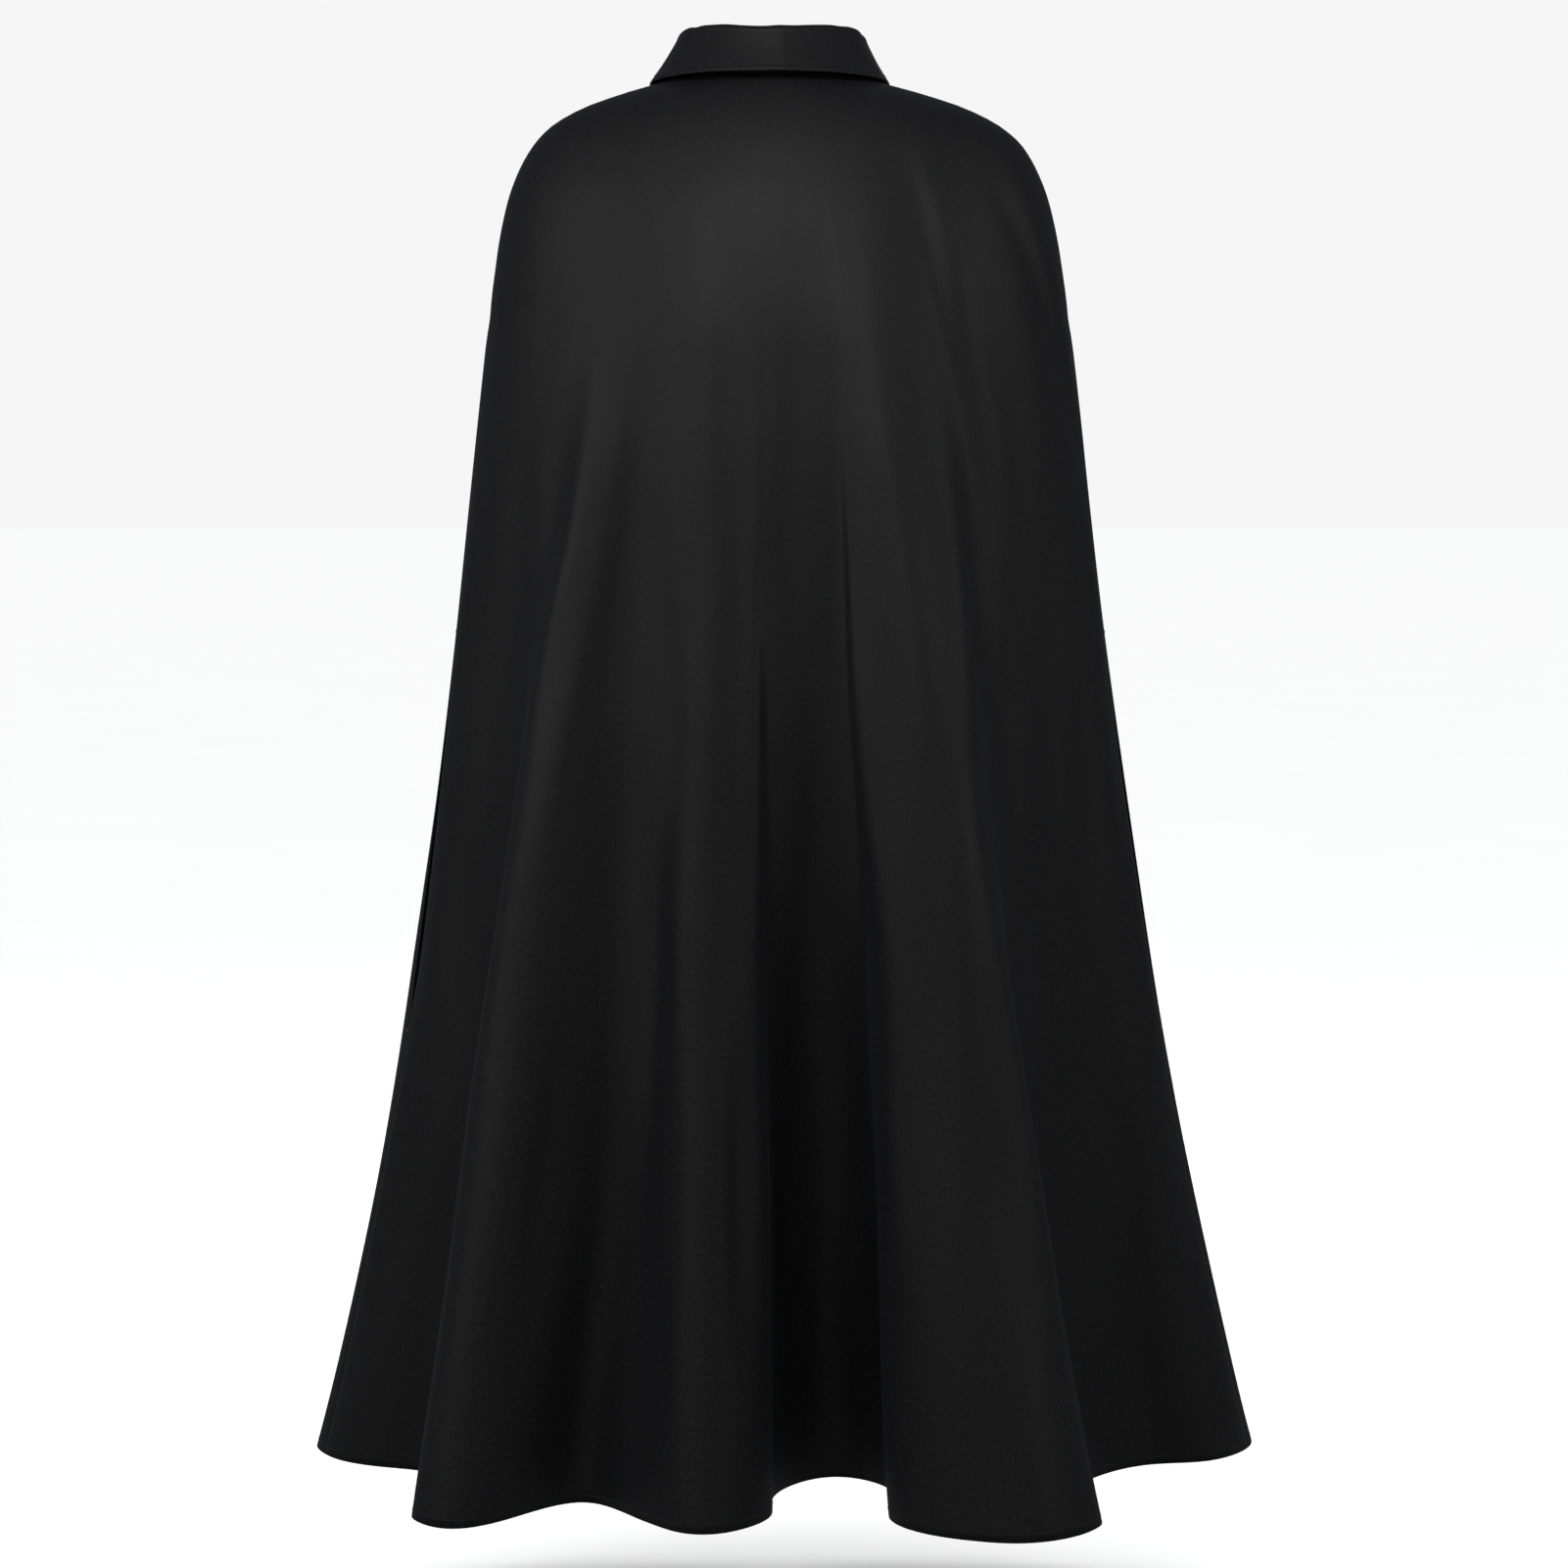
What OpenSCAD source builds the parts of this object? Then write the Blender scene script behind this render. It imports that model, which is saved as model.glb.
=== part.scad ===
// Full-length satin cape with a turned-down collar, worn from the shoulders.
// +Z is up, the wearer faces -Y and the wearer's left is +X. The origin is the
// middle of the neck opening at the height of the back neck seam. Millimetres.

/* [Cape] */
// Drop of the cloth from the back neck seam to the hem
cape_length = 1330; // [1000:10:1500]
// Width across the hem, side to side
hem_width = 942; // [780:2:1100]
// Width across the shoulders, where the cloth turns down
shoulder_width = 494; // [420:2:560]
// Depth of the cape from the neck line to the shoulder turn
shoulder_drop = 82; // [65:1:105]
// Thickness that the hanging cloth is drawn with
cloth_t = 2; // [1:0.1:3]

/* [Neck] */
// Width of the neck seam, side to side
neck_width = 176; // [146:2:200]
// Depth of the neck seam, front to back
neck_depth = 154; // [130:2:180]
// How far the neck seam dips from the back to the throat
neck_dip = 70; // [50:1:85]
// How far the neck seam rises at the two sides of the neck
side_rise = 7; // [0:0.5:10]

/* [Collar] */
// Height of the collar stand at the back, up to the roll
stand_back = 38; // [28:1:46]
// Height of the collar stand at the throat
stand_front = 28; // [20:1:34]
// How far the stand leans in towards the neck at the back
stand_lean = 7; // [0:0.5:10]
// How much further the stand leans in at the sides of the neck
side_lean = 4; // [0:0.5:6]
// Inside radius of the collar roll
roll_r = 4; // [3:0.5:6]
// How far the collar edge hangs below (+) or above (-) the neck seam at the back
fall_back = -2; // [-3:0.5:12]
// How far the collar points hang below the neck seam in front
fall_front = 34; // [20:1:45]
// How far the collar edge stands out from the neck seam
fall_out = 16; // [12:1:26]
// How much further the collar edge stands out at the sides of the neck
side_out = 14; // [0:1:18]
// How much lower the collar edge can lie at the sides, down to the shoulders
side_dip = 9; // [0:1:12]
// Thickness of each of the collar's three layers
layer_t = 1; // [0.6:0.1:1.2]
// How far the two ends of the stand pass each other at the throat
stand_overlap = 13; // [10:0.5:18]

/* [Front] */
// Drop from the neck line to where the front edges can turn back
turn_back_start = 150; // [120:5:260]
// Space left along the line where the front edge turns back
turn_back_gap = 4; // [3:0.5:6]

/* [Arm slits] */
// Drop from the neck line to the top of each arm slit
slit_top = 520; // [440:10:600]
// Length of each arm slit
slit_length = 380; // [260:10:450]
// Width that the slit stands open
slit_gap = 16; // [12:0.5:20]

/* [Button] */
// Diameter of the neck button
button_d = 15; // [12:0.5:18]
// Thickness of the neck button
button_t = 3; // [2.4:0.1:3.6]
// Diameter of the thread shank under the button
shank_d = 2.4; // [1.6:0.1:3]
// Free space round the shank in the buttonhole
shank_clear = 0.4; // [0.3:0.1:0.8]
// Length of shank between the stand and the button
shank_free = 1.2; // [1:0.1:2]

/* [Hanging loop] */
// Radius of the loop, from its middle to the middle of its cord
loop_r = 18; // [12:1:22]
// Thickness of the rolled loop
loop_d = 4; // [3:0.5:5]

/* [Hidden] */

satin = [0.05, 0.05, 0.06];
thread = [0.10, 0.10, 0.11];
canvas = [0.75, 0.74, 0.70];
horn = [0.04, 0.04, 0.04];

// The cloth hangs in lines that run from the neck to the hem, listed from the
// left front edge round the back to the right front edge. Each line has its
// turn round the body at the neck (0 is the left side, 90 the middle of the
// back), its place across the hem as a share of half the hem, and how far it
// stands behind (+) or in front of (-) the neck at the hem, in millimetres.
LINES = [
    [-89.2, 0.10, -272], [-88.6, 0.22, -296], [-88, 0.36, -262], [-86, 0.45, -272], [-74, 0.55, -294],
    [-58, 0.68, -222], [-40, 0.83, -236], [-20, 0.95, -178],
    [0, 1.01, -108], [14, 0.93, -40], [26, 0.81, -18], [37, 0.70, 0], [46, 0.67, 92],
    [55, 0.75, 172], [58.5, 0.64, 224], [61, 0.51, 150], [64, 0.40, 92], [69, 0.31, 150],
    [77, 0.19, 236], [82, 0.08, 206], [85, 0.01, 158], [87, 0.04, 98], [90, -0.01, 40],
    [94, -0.10, 6], [98, -0.19, 36], [101, -0.24, 96], [103, -0.18, 164],
    [106, -0.26, 222], [111, -0.42, 264], [115.5, -0.55, 240], [119.5, -0.63, 192],
    [126, -0.56, 118], [136, -0.58, 50], [148, -0.68, -14], [159, -0.78, -40],
    [168, -0.87, -36], [175, -0.95, -72], [181, -1.01, -130],
    [200, -0.95, -192], [220, -0.84, -240], [238, -0.69, -224], [254, -0.52, -290],
    [266, -0.44, -274], [268, -0.35, -262], [268.6, -0.20, -300], [269.2, -0.06, -276]];
last_line = len(LINES) - 1;
left_turn = 2;
right_turn = last_line - 2;
left_seam = 8.5;
right_seam = 36.5;

neck_back = neck_depth / 2 + 1;
neck_front = neck_depth / 2 - 1;
half_hem = hem_width / 2;
half_neck = neck_width / 2;
half_shoulder = shoulder_width / 2;
// The whole cape hangs a little to the wearer's right.
sway_shoulder = 6;
sway_hem = 9;
fold_start = 120;
// The cloth rests on the body down to the chest, then flares to the hem.
chest_drop = 140;
chest_out = 29;

// Half width, back depth and front depth of the smooth cape, by drop.
function across(f) = half_neck + (half_shoulder - half_neck) * f;
side_profile = [[0, half_neck], [0.10 * shoulder_drop, across(0.14)],
    [0.24 * shoulder_drop, across(0.43)], [0.44 * shoulder_drop, across(0.73)],
    [0.68 * shoulder_drop, across(0.90)], [shoulder_drop, half_shoulder],
    [shoulder_drop + 47, half_shoulder + 15], [shoulder_drop + chest_drop, half_shoulder + chest_out]];
back_profile = [[0, neck_back], [8, neck_back + 6], [20, neck_back + 14],
    [36, neck_back + 23], [56, neck_back + 32], [82, neck_back + 42],
    [129, neck_back + 56], [222, neck_back + 70], [350, neck_back + 78],
    [600, neck_back + 84], [1400, neck_back + 72]];
front_profile = [[0, neck_front], [8, neck_front + 6], [20, neck_front + 14],
    [36, neck_front + 22], [56, neck_front + 31], [82, neck_front + 41],
    [129, neck_front + 55], [222, neck_front + 71], [350, neck_front + 84],
    [1400, neck_front + 160]];
flare_from = shoulder_drop + chest_drop;
flare_run = cape_length - flare_from;
flare_straight = 0.122;
flare_curl = half_hem - half_shoulder - chest_out - flare_straight * flare_run;

function half_width(d) = d < flare_from ? lookup(d, side_profile)
    : half_shoulder + chest_out + flare_straight * (d - flare_from)
      + flare_curl * pow((d - flare_from) / flare_run, 3);
function depth(turn, d) = sin(turn) > 0 ? lookup(d, back_profile) : lookup(d, front_profile);
function sway(d) = sway_shoulder * min(1, d / 60) + sway_hem * d / cape_length;
function neck_z(turn) = side_rise * pow(cos(turn), 2) - neck_dip * pow((1 - sin(turn)) / 2, 3);
function grow(d, p) = pow(max(0, d - fold_start) / (cape_length - fold_start), p);

// A point of one hanging line at a drop, and of the smooth cape at any turn.
function smooth_point(turn, d) = [half_width(d) * cos(turn) - sway(d),
    depth(turn, d) * sin(turn),
    neck_z(turn) * (1 - d / cape_length) - d];
across_power = 1.3;
depth_power = 1.7;
function line_point(k, d) = let (l = LINES[k], s = smooth_point(l[0], d),
        h = smooth_point(l[0], cape_length))
    s + [(l[1] * half_hem - sway(cape_length) - h[0]) * grow(d, across_power),
         (l[2] - h[1]) * grow(d, depth_power), 0];
function line_or_end(k, d) = k < 0 ? 2 * line_point(0, d) - line_point(1, d)
    : k > last_line ? 2 * line_point(last_line, d) - line_point(last_line - 1, d)
    : line_point(k, d);
// Cubic B-spline across the lines: u counts lines.
function rough_point(u, d) = let (k = min(last_line - 1, floor(u)), f = u - k)
    (pow(1 - f, 3) * line_or_end(k - 1, d)
     + (3 * pow(f, 3) - 6 * pow(f, 2) + 4) * line_or_end(k, d)
     + (-3 * pow(f, 3) + 3 * pow(f, 2) + 3 * f + 1) * line_or_end(k + 1, d)
     + pow(f, 3) * line_or_end(k + 2, d)) / 6;
// Each front edge turns back along one straight line, so the cloth there is
// drawn on to the straight line from the chest to the hem.
straight_reach = 1.6;
left_top = rough_point(left_turn, turn_back_start);
left_foot = rough_point(left_turn, cape_length);
right_top = rough_point(right_turn, turn_back_start);
right_foot = rough_point(right_turn, cape_length);
function straighten(u, turn, top, foot, d) = let (near = max(0, 1 - pow((u - turn) / straight_reach, 2)),
        f = (d - turn_back_start) / (cape_length - turn_back_start))
    near <= 0 || f <= 0 ? [0, 0, 0]
    : near * near * (top + (foot - top) * f - rough_point(turn, d));
// The top edge is drawn on to the neck seam.
function turn_at(u) = let (k = min(last_line - 1, floor(u)), f = u - k,
        t = [for (i = [k - 1 : k + 2]) LINES[max(0, min(last_line, i))][0]])
    (pow(1 - f, 3) * t[0] + (3 * pow(f, 3) - 6 * pow(f, 2) + 4) * t[1]
     + (-3 * pow(f, 3) + 3 * pow(f, 2) + 3 * f + 1) * t[2] + pow(f, 3) * t[3]) / 6;
neck_ease = 40;
function to_neck(u, d) = d >= neck_ease ? [0, 0, 0]
    : pow(1 - d / neck_ease, 2) * (neck_point(turn_at(u)) - rough_point(u, 0));
function cape_point(u, d) = rough_point(u, d) + to_neck(u, d)
    + straighten(u, left_turn, left_top, left_foot, d)
    + straighten(u, right_turn, right_top, right_foot, d);
function unit(v) = v / norm(v);
step_u = 0.02;
step_d = 1;
function cape_normal(u, d) = let (lo = max(0, d - step_d), hi = min(cape_length, d + step_d))
    unit(cross(cape_point(u, hi) - cape_point(u, lo),
               cape_point(u + step_u, d) - cape_point(u - step_u, d)));
function cape_skin(u, d, off) = cape_point(u, d) + off * cape_normal(u, d);

// Closed solid between two grids of points, n columns by m rows.
module sheet(outer, inner) {
    n = len(outer);
    m = len(outer[0]);
    flat_outer = [for (column = outer) each column];
    flat_inner = [for (column = inner) each column];
    function at(i, j) = i * m + j;
    back = n * m;
    polyhedron(concat(flat_outer, flat_inner), concat(
        [for (i = [0 : n - 2], j = [0 : m - 2]) each [
            [at(i, j), at(i + 1, j), at(i + 1, j + 1)],
            [at(i, j), at(i + 1, j + 1), at(i, j + 1)],
            [back + at(i, j), back + at(i + 1, j + 1), back + at(i + 1, j)],
            [back + at(i, j), back + at(i, j + 1), back + at(i + 1, j + 1)]]],
        [for (i = [0 : n - 2]) each [
            [at(i, 0), back + at(i + 1, 0), at(i + 1, 0)],
            [at(i, 0), back + at(i, 0), back + at(i + 1, 0)],
            [at(i, m - 1), at(i + 1, m - 1), back + at(i + 1, m - 1)],
            [at(i, m - 1), back + at(i + 1, m - 1), back + at(i, m - 1)]]],
        [for (j = [0 : m - 2]) each [
            [at(0, j), at(0, j + 1), back + at(0, j + 1)],
            [at(0, j), back + at(0, j + 1), back + at(0, j)],
            [at(n - 1, j), back + at(n - 1, j + 1), at(n - 1, j + 1)],
            [at(n - 1, j), back + at(n - 1, j), back + at(n - 1, j + 1)]]]));
}

// Drops of the rows of a cloth solid: close together over the shoulders.
hem_fold = 10;
row_count = 22;
row_clear = 3;
row_crowd = 1.6;
function rows(from, to) = [for (j = [0 : row_count])
    let (d = cape_length * pow(j / row_count, row_crowd))
        if (d > from + row_clear && d < to - hem_fold - row_clear) d];
function cloth_rows(from) = concat([from], rows(from, cape_length),
    [cape_length - hem_fold, cape_length]);

// Each side seam opens over the arm slit: how far the edge draws back, in
// millimetres and then in lines.
slit_end = slit_top + slit_length;
slit_ease = 40;
function slit_open(d) = slit_gap / 2 * max(0, min(1, (d - slit_top) / slit_ease,
    (slit_end - d) / slit_ease));
seam_gap = 0.15;
function line_pitch(u, d) = norm(cape_point(u + 0.5, d) - cape_point(u - 0.5, d));
function seam_edge(u, side, d) = u + side * (seam_gap + slit_open(d)) / line_pitch(u, d);

// Cloth between two edges, each a function of the drop through the ends table.
function between(a, b, n) = [for (i = [0 : n]) a + (b - a) * i / n];
module cloth(edges, drops, columns) {
    grid = [for (i = [0 : columns]) [for (j = [0 : len(drops) - 1])
        [edges[j][0] + (edges[j][1] - edges[j][0]) * i / columns, drops[j]]]];
    sheet([for (c = grid) [for (p = c) cape_skin(p[0], p[1], cloth_t / 2)]],
          [for (c = grid) [for (p = c) cape_skin(p[0], p[1], -cloth_t / 2)]]);
}

module back_panel() {
    drops = cloth_rows(0);
    color(satin)
        cloth([for (d = drops) [seam_edge(left_seam, 1, d), seam_edge(right_seam, -1, d)]],
              drops, 64);
}

function turn_edge(turn, side, d) = turn + side * turn_back_gap / line_pitch(turn, d);

module left_front_panel() {
    drops = cloth_rows(0);
    color(satin)
        cloth([for (d = drops) [turn_edge(left_turn, 1, d), seam_edge(left_seam, -1, d)]],
              drops, 12);
}

module right_front_panel() {
    drops = cloth_rows(0);
    color(satin)
        cloth([for (d = drops) [seam_edge(right_seam, 1, d), turn_edge(right_turn, -1, d)]],
              drops, 12);
}

edge_below = 60;
edge_from = turn_back_start + edge_below;

module left_front_edge() {
    drops = cloth_rows(edge_from);
    color(satin)
        cloth([for (d = drops) [0, turn_edge(left_turn, -1, d)]], drops, 5);
}

module right_front_edge() {
    drops = cloth_rows(edge_from);
    color(satin)
        cloth([for (d = drops) [turn_edge(right_turn, 1, d), last_line]], drops, 5);
}

// Collar. A profile point is [out from the neck seam, up from it].
function neck_radius(turn) = sin(turn) > 0 ? neck_back : neck_front;
function neck_point(turn) = [half_neck * cos(turn), neck_radius(turn) * sin(turn), neck_z(turn)];
function neck_out(turn) = unit([cos(turn) / half_neck, sin(turn) / neck_radius(turn), 0]);
function on_collar(turn, p) = neck_point(turn) + p[0] * neck_out(turn) + [0, 0, p[1]];
function backness(turn) = (1 + sin(turn)) / 2;
function blend(a, b, f) = a + (b - a) * f;
function stand_top(turn) = blend(stand_front, stand_back, backness(turn));
// The stand leans in a little more on the wearer's left.
lean_skew = 0.5;
function lean(turn) = stand_lean * backness(turn)
    + side_lean * (1 + lean_skew * cos(turn)) * pow(cos(turn), 2);

collar_t = 3 * layer_t;
stand_lift = cloth_t / 2 + 0.2;
overlap_turn = asin(stand_overlap / half_neck);
left_end = -90 - overlap_turn;
right_end = 270 + overlap_turn;
// The left end of the stand passes outside the right end. It starts to step out
// at one turn and is all the way out where the right end begins.
pass_gap = 0.6;
step_from = -62;
step_run = 90 + step_from - overlap_turn;
function step_out(turn) = (collar_t + pass_gap) * max(0, min(1, (step_from - turn) / step_run));
function stand_point(turn, f, off) = on_collar(turn, [step_out(turn) - lean(turn) * f + off,
    stand_lift + (stand_top(turn) - stand_lift) * f]);
stand_columns = 60;

module stand_layer(low, high) {
    turns = between(left_end, right_end, stand_columns);
    sheet([for (t = turns) [for (f = [1, 0.5, 0]) stand_point(t, f, high)]],
          [for (t = turns) [for (f = [1, 0.5, 0]) stand_point(t, f, low)]]);
}

// The buttonhole goes through the left end of the stand only.
button_z = neck_z(-90) + stand_lift + (stand_front - stand_lift) * 0.5;
stand_face = neck_front + collar_t / 2;
hole_w = shank_d + 2 * shank_clear;
hole_l = button_d + 1;
module buttonhole() {
    left_mid = stand_face + pass_gap + collar_t / 2;
    translate([0, -left_mid, button_z]) rotate([90, 0, 0])
        linear_extrude(collar_t + pass_gap, center = true)
            square([hole_l, hole_w], center = true);
}

module stand_inner() {
    color(satin) difference() {
        stand_layer(-collar_t / 2, -layer_t / 2);
        buttonhole();
    }
}

module stand_interlining() {
    color(canvas) difference() {
        stand_layer(-layer_t / 2, layer_t / 2);
        buttonhole();
    }
}

module stand_outer() {
    color(satin) difference() {
        stand_layer(layer_t / 2, collar_t / 2);
        buttonhole();
    }
}

// The fall: up from the stand, over the roll and down to the collar edge,
// which clears the cloth that it lies over.
edge_clear = 1.2;
edge_rise = (collar_t + cloth_t) / 2 + edge_clear;
roll_gap = 0.3;
roll_rise = 1;
fall_hollow = 1;
point_reach = 2.2;
point_curve = 0.8;
function fall_drop(turn) = blend(fall_front, fall_back,
    pow(min(1, backness(turn) * point_reach), point_curve));
function cloth_out(turn, d) = let (s = smooth_point(turn, d) - neck_point(turn))
    s * neck_out(turn);
function edge_out(turn) = side_out * backness(turn) * pow(cos(turn), 2)
    + max(fall_out, cloth_out(turn, fall_drop(turn)) + edge_rise);
// Drop of the cloth at a distance out from the neck seam, by halving.
function cloth_drop(turn, out, low, high, n) = let (mid = (low + high) / 2)
    n == 0 ? mid
    : cloth_out(turn, mid) < out ? cloth_drop(turn, out, mid, high, n - 1)
    : cloth_drop(turn, out, low, mid, n - 1);
function edge_z(turn) = max(-fall_drop(turn) - side_dip * pow(cos(turn), 2),
    edge_rise - cloth_drop(turn, edge_out(turn) - edge_rise, 0, 2 * shoulder_drop, 12));
roll_steps = 6;
fall_steps = 4;
function fall_path(turn) = let (n0 = -lean(turn), z0 = stand_top(turn), e = edge_out(turn),
        ze = edge_z(turn), n1 = n0 + 2 * roll_r, z1 = z0 + roll_rise)
    concat([[n0, z0 + roll_gap]],
        [for (i = [0 : roll_steps]) let (a = 180 - 180 * i / roll_steps)
            [n0 + roll_r + roll_r * cos(a), z1 + roll_r * sin(a)]],
        [for (i = [1 : fall_steps]) let (f = i / fall_steps)
            [blend(n1, e, f) - fall_hollow * sin(180 * f), blend(z1, ze, f)]]);
path_len = roll_steps + fall_steps + 2;
function path_side(p, k) = let (a = p[max(0, k - 1)], b = p[min(path_len - 1, k + 1)], t = unit(b - a))
    [-t[1], t[0]];
// The front edges of the fall spread from the throat to the collar points.
collar_open = 6;
collar_spread = 13;
spread_curve = 1.5;
function end_turn(k) = collar_open + collar_spread * pow(k / (path_len - 1), spread_curve);
fall_columns = 52;
function fall_turn(i, k) = blend(-90 + end_turn(k), 270 - end_turn(k), i / fall_columns);
function fall_point(i, k, off) = let (t = fall_turn(i, k), p = fall_path(t))
    on_collar(t, p[k] + off * path_side(p, k));

module fall_layer(low, high) {
    sheet([for (i = [0 : fall_columns]) [for (k = [0 : path_len - 1]) fall_point(i, k, high)]],
          [for (i = [0 : fall_columns]) [for (k = [0 : path_len - 1]) fall_point(i, k, low)]]);
}

module upper_collar() {
    color(satin) fall_layer(layer_t / 2, collar_t / 2);
}

module collar_interlining() {
    color(canvas) fall_layer(-layer_t / 2, layer_t / 2);
}

module under_collar() {
    color(satin) fall_layer(-collar_t / 2, -layer_t / 2);
}

// A run of thread along the collar edge, laid on the upper collar.
thread_w = 0.8;
thread_proud = 0.25;
thread_h = 0.5;
function collar_thread(i, off) = let (k = path_len - 2, top = fall_point(i, k, off),
        low = fall_point(i, k + 1, off))
    [top, blend(top, low, thread_w / norm(low - top))];
module collar_topstitching() {
    low = collar_t / 2 + thread_proud;
    columns = [1 : fall_columns - 1];
    color(thread) sheet([for (i = columns) collar_thread(i, low + thread_h)],
                        [for (i = columns) collar_thread(i, low)]);
}

// Tape that covers the neck seam on the inside.
binding_w = 9;
binding_t = 0.8;
binding_end = 6;
binding_gap = 0.2;
binding_top = stand_lift - 0.3;
binding_out = -collar_t / 2 - binding_gap;
binding_in = binding_out - binding_t;
module neck_binding() {
    turns = between(-90 + binding_end, 270 - binding_end, 48);
    color(satin) sheet(
        [for (t = turns) [for (z = [binding_top, binding_top - binding_w]) on_collar(t, [binding_out, z])]],
        [for (t = turns) [for (z = [binding_top, binding_top - binding_w]) on_collar(t, [binding_in, z])]]);
}

// Neck button on a thread shank that passes through the buttonhole.
button_seat = stand_face + pass_gap + collar_t + shank_free;
button_holes_r = 2.4;
button_hole_d = 1.6;
button_rim = 1.8;
button_dish = 0.8;
button_bevel = 0.8;
button_round = 0.7;
module at_button(out) {
    translate([0, 0, button_z]) rotate([90, 0, 0]) translate([0, 0, out]) children();
}
module at_holes() {
    for (a = [45 : 90 : 315]) rotate(a) translate([button_holes_r, 0, 0]) children();
}
module neck_button() {
    r = button_d / 2;
    color(horn) at_button(button_seat) difference() {
        rotate_extrude($fn = 64) polygon([[0, 0], [r - button_bevel, 0], [r, button_bevel],
            [r, button_t - button_round], [r - button_round, button_t], [r - button_rim, button_t],
            [r - button_rim - button_dish, button_t - button_dish], [0, button_t - button_dish]]);
        at_holes() translate([0, 0, -1]) cylinder(d = button_hole_d, h = button_t + 2, $fn = 24);
    }
}

// The thread goes up through the holes and crosses over on the button's face.
leg_clear = 0.15;
thread_gap = 0.3;
knot_t = 0.4;
cross_t = 0.4;
cross_rise = 0.3;
module button_thread() {
    leg_d = button_hole_d - 2 * leg_clear;
    start = stand_face + thread_gap;
    face = button_t - button_dish;
    color(thread) {
        at_button(start) cylinder(d = shank_d, h = button_seat - start, $fn = 24);
        at_button(button_seat - knot_t) cylinder(r = button_holes_r + leg_d / 2, h = knot_t, $fn = 32);
        at_button(button_seat - knot_t) at_holes()
            cylinder(d = leg_d, h = knot_t + face + cross_rise + cross_t / 2, $fn = 16);
        for (a = [45, 135])
            at_button(button_seat + face + cross_rise) rotate(a)
                cube([2 * button_holes_r, leg_d, cross_t], center = true);
    }
}

stitch_w = 1.1;
stitch_t = 0.3;
stitch_rise = 0.05;
module buttonhole_stitching() {
    color(thread) at_button(stand_face + pass_gap + collar_t + stitch_rise)
        linear_extrude(stitch_t) difference() {
            square([hole_l + 2 * stitch_w, hole_w + 2 * stitch_w], center = true);
            square([hole_l, hole_w], center = true);
        }
}

// Rolled loop inside the back neck, hanging from its two sewn ends.
tack_t = 0.8;
tack_h = 2.4;
tack_margin = 1;
loop_gap = 0.3;
// Turns round the neck seam of the loop's end and of the far side of its tack.
loop_turn = acos(loop_r / half_neck);
loop_far_turn = acos((loop_r + loop_d / 2 + tack_margin) / half_neck);
loop_y = on_collar(loop_far_turn, [binding_in - tack_t - 3 * loop_gap, 0])[1] - loop_d / 2;
loop_z = -2;
module hanging_loop() {
    color(satin) translate([0, loop_y, loop_z]) {
        rotate([90, 0, 0]) rotate([0, 0, 180]) rotate_extrude(angle = 180, $fn = 64)
            translate([loop_r, 0]) circle(d = loop_d, $fn = 24);
        for (side = [-1, 1]) translate([side * loop_r, 0, 0]) sphere(d = loop_d, $fn = 24);
    }
}

module loop_bar_tacks() {
    out = neck_out(loop_turn);
    at = on_collar(loop_turn, [binding_in - tack_t / 2 - loop_gap, 0]);
    color(thread) for (side = [-1, 1])
        translate([side * at[0], at[1], loop_z]) rotate(-side * atan2(out[0], out[1]))
            cube([loop_d + 2 * tack_margin, tack_t, tack_h], center = true);
}

// Short bars of thread across the seam just above and below each arm slit.
tack_rise = 0.3;
tack_l = 10;
tack_w = 2.4;
tack_past = 2;
module bar_tack(u, d) {
    half = tack_l / 2 / line_pitch(u, d);
    low = cloth_t / 2 + tack_rise;
    sheet([for (s = [-half, 0, half]) [for (r = [0, tack_w]) cape_skin(u + s, d + r, low + tack_t)]],
          [for (s = [-half, 0, half]) [for (r = [0, tack_w]) cape_skin(u + s, d + r, low)]]);
}
module arm_slit_bar_tacks() {
    color(thread) for (u = [left_seam, right_seam])
        for (d = [slit_top - tack_w - tack_past, slit_end + tack_past]) bar_tack(u, d);
}

// A run of thread along the hem, laid on the cloth between its last two rows.
function hem_run(a, b, columns, off) = [for (u = between(a, b, columns))
    let (top = cape_skin(u, cape_length - hem_fold, off), low = cape_skin(u, cape_length, off))
    [top, blend(top, low, thread_w / hem_fold)]];
module hem_thread(a, b, columns) {
    low = cloth_t / 2 + thread_proud;
    sheet(hem_run(a, b, columns, low + thread_h), hem_run(a, b, columns, low));
}
hem_row = cape_length - hem_fold;
module hem_stitching() {
    color(thread) {
        hem_thread(seam_edge(left_seam, 1, hem_row), seam_edge(right_seam, -1, hem_row), 64);
        hem_thread(turn_edge(left_turn, 1, hem_row), seam_edge(left_seam, -1, hem_row), 12);
        hem_thread(seam_edge(right_seam, 1, hem_row), turn_edge(right_turn, -1, hem_row), 12);
    }
}

// A run of thread down a front edge, a little in from it.
edge_share = 0.10;
edge_width = 0.012;
function edge_run(u, way, off) = let (drops = cloth_rows(edge_from))
    [for (share = [edge_share, edge_share + edge_width])
        [for (j = [1 : len(drops) - 3]) cape_skin(u + way * share, drops[j], off)]];
module edge_thread(u, way) {
    low = cloth_t / 2 + 2 * thread_proud;
    high = edge_run(u, way, low + thread_h);
    deep = edge_run(u, way, low);
    if (way > 0) sheet(high, deep);
    else sheet([high[1], high[0]], [deep[1], deep[0]]);
}
module left_edge_stitching() {
    color(thread) {
        edge_thread(0, 1);
        hem_thread(0, turn_edge(left_turn, -1, hem_row), 5);
    }
}
module right_edge_stitching() {
    color(thread) {
        edge_thread(last_line, -1);
        hem_thread(turn_edge(right_turn, 1, hem_row), last_line, 5);
    }
}

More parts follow.
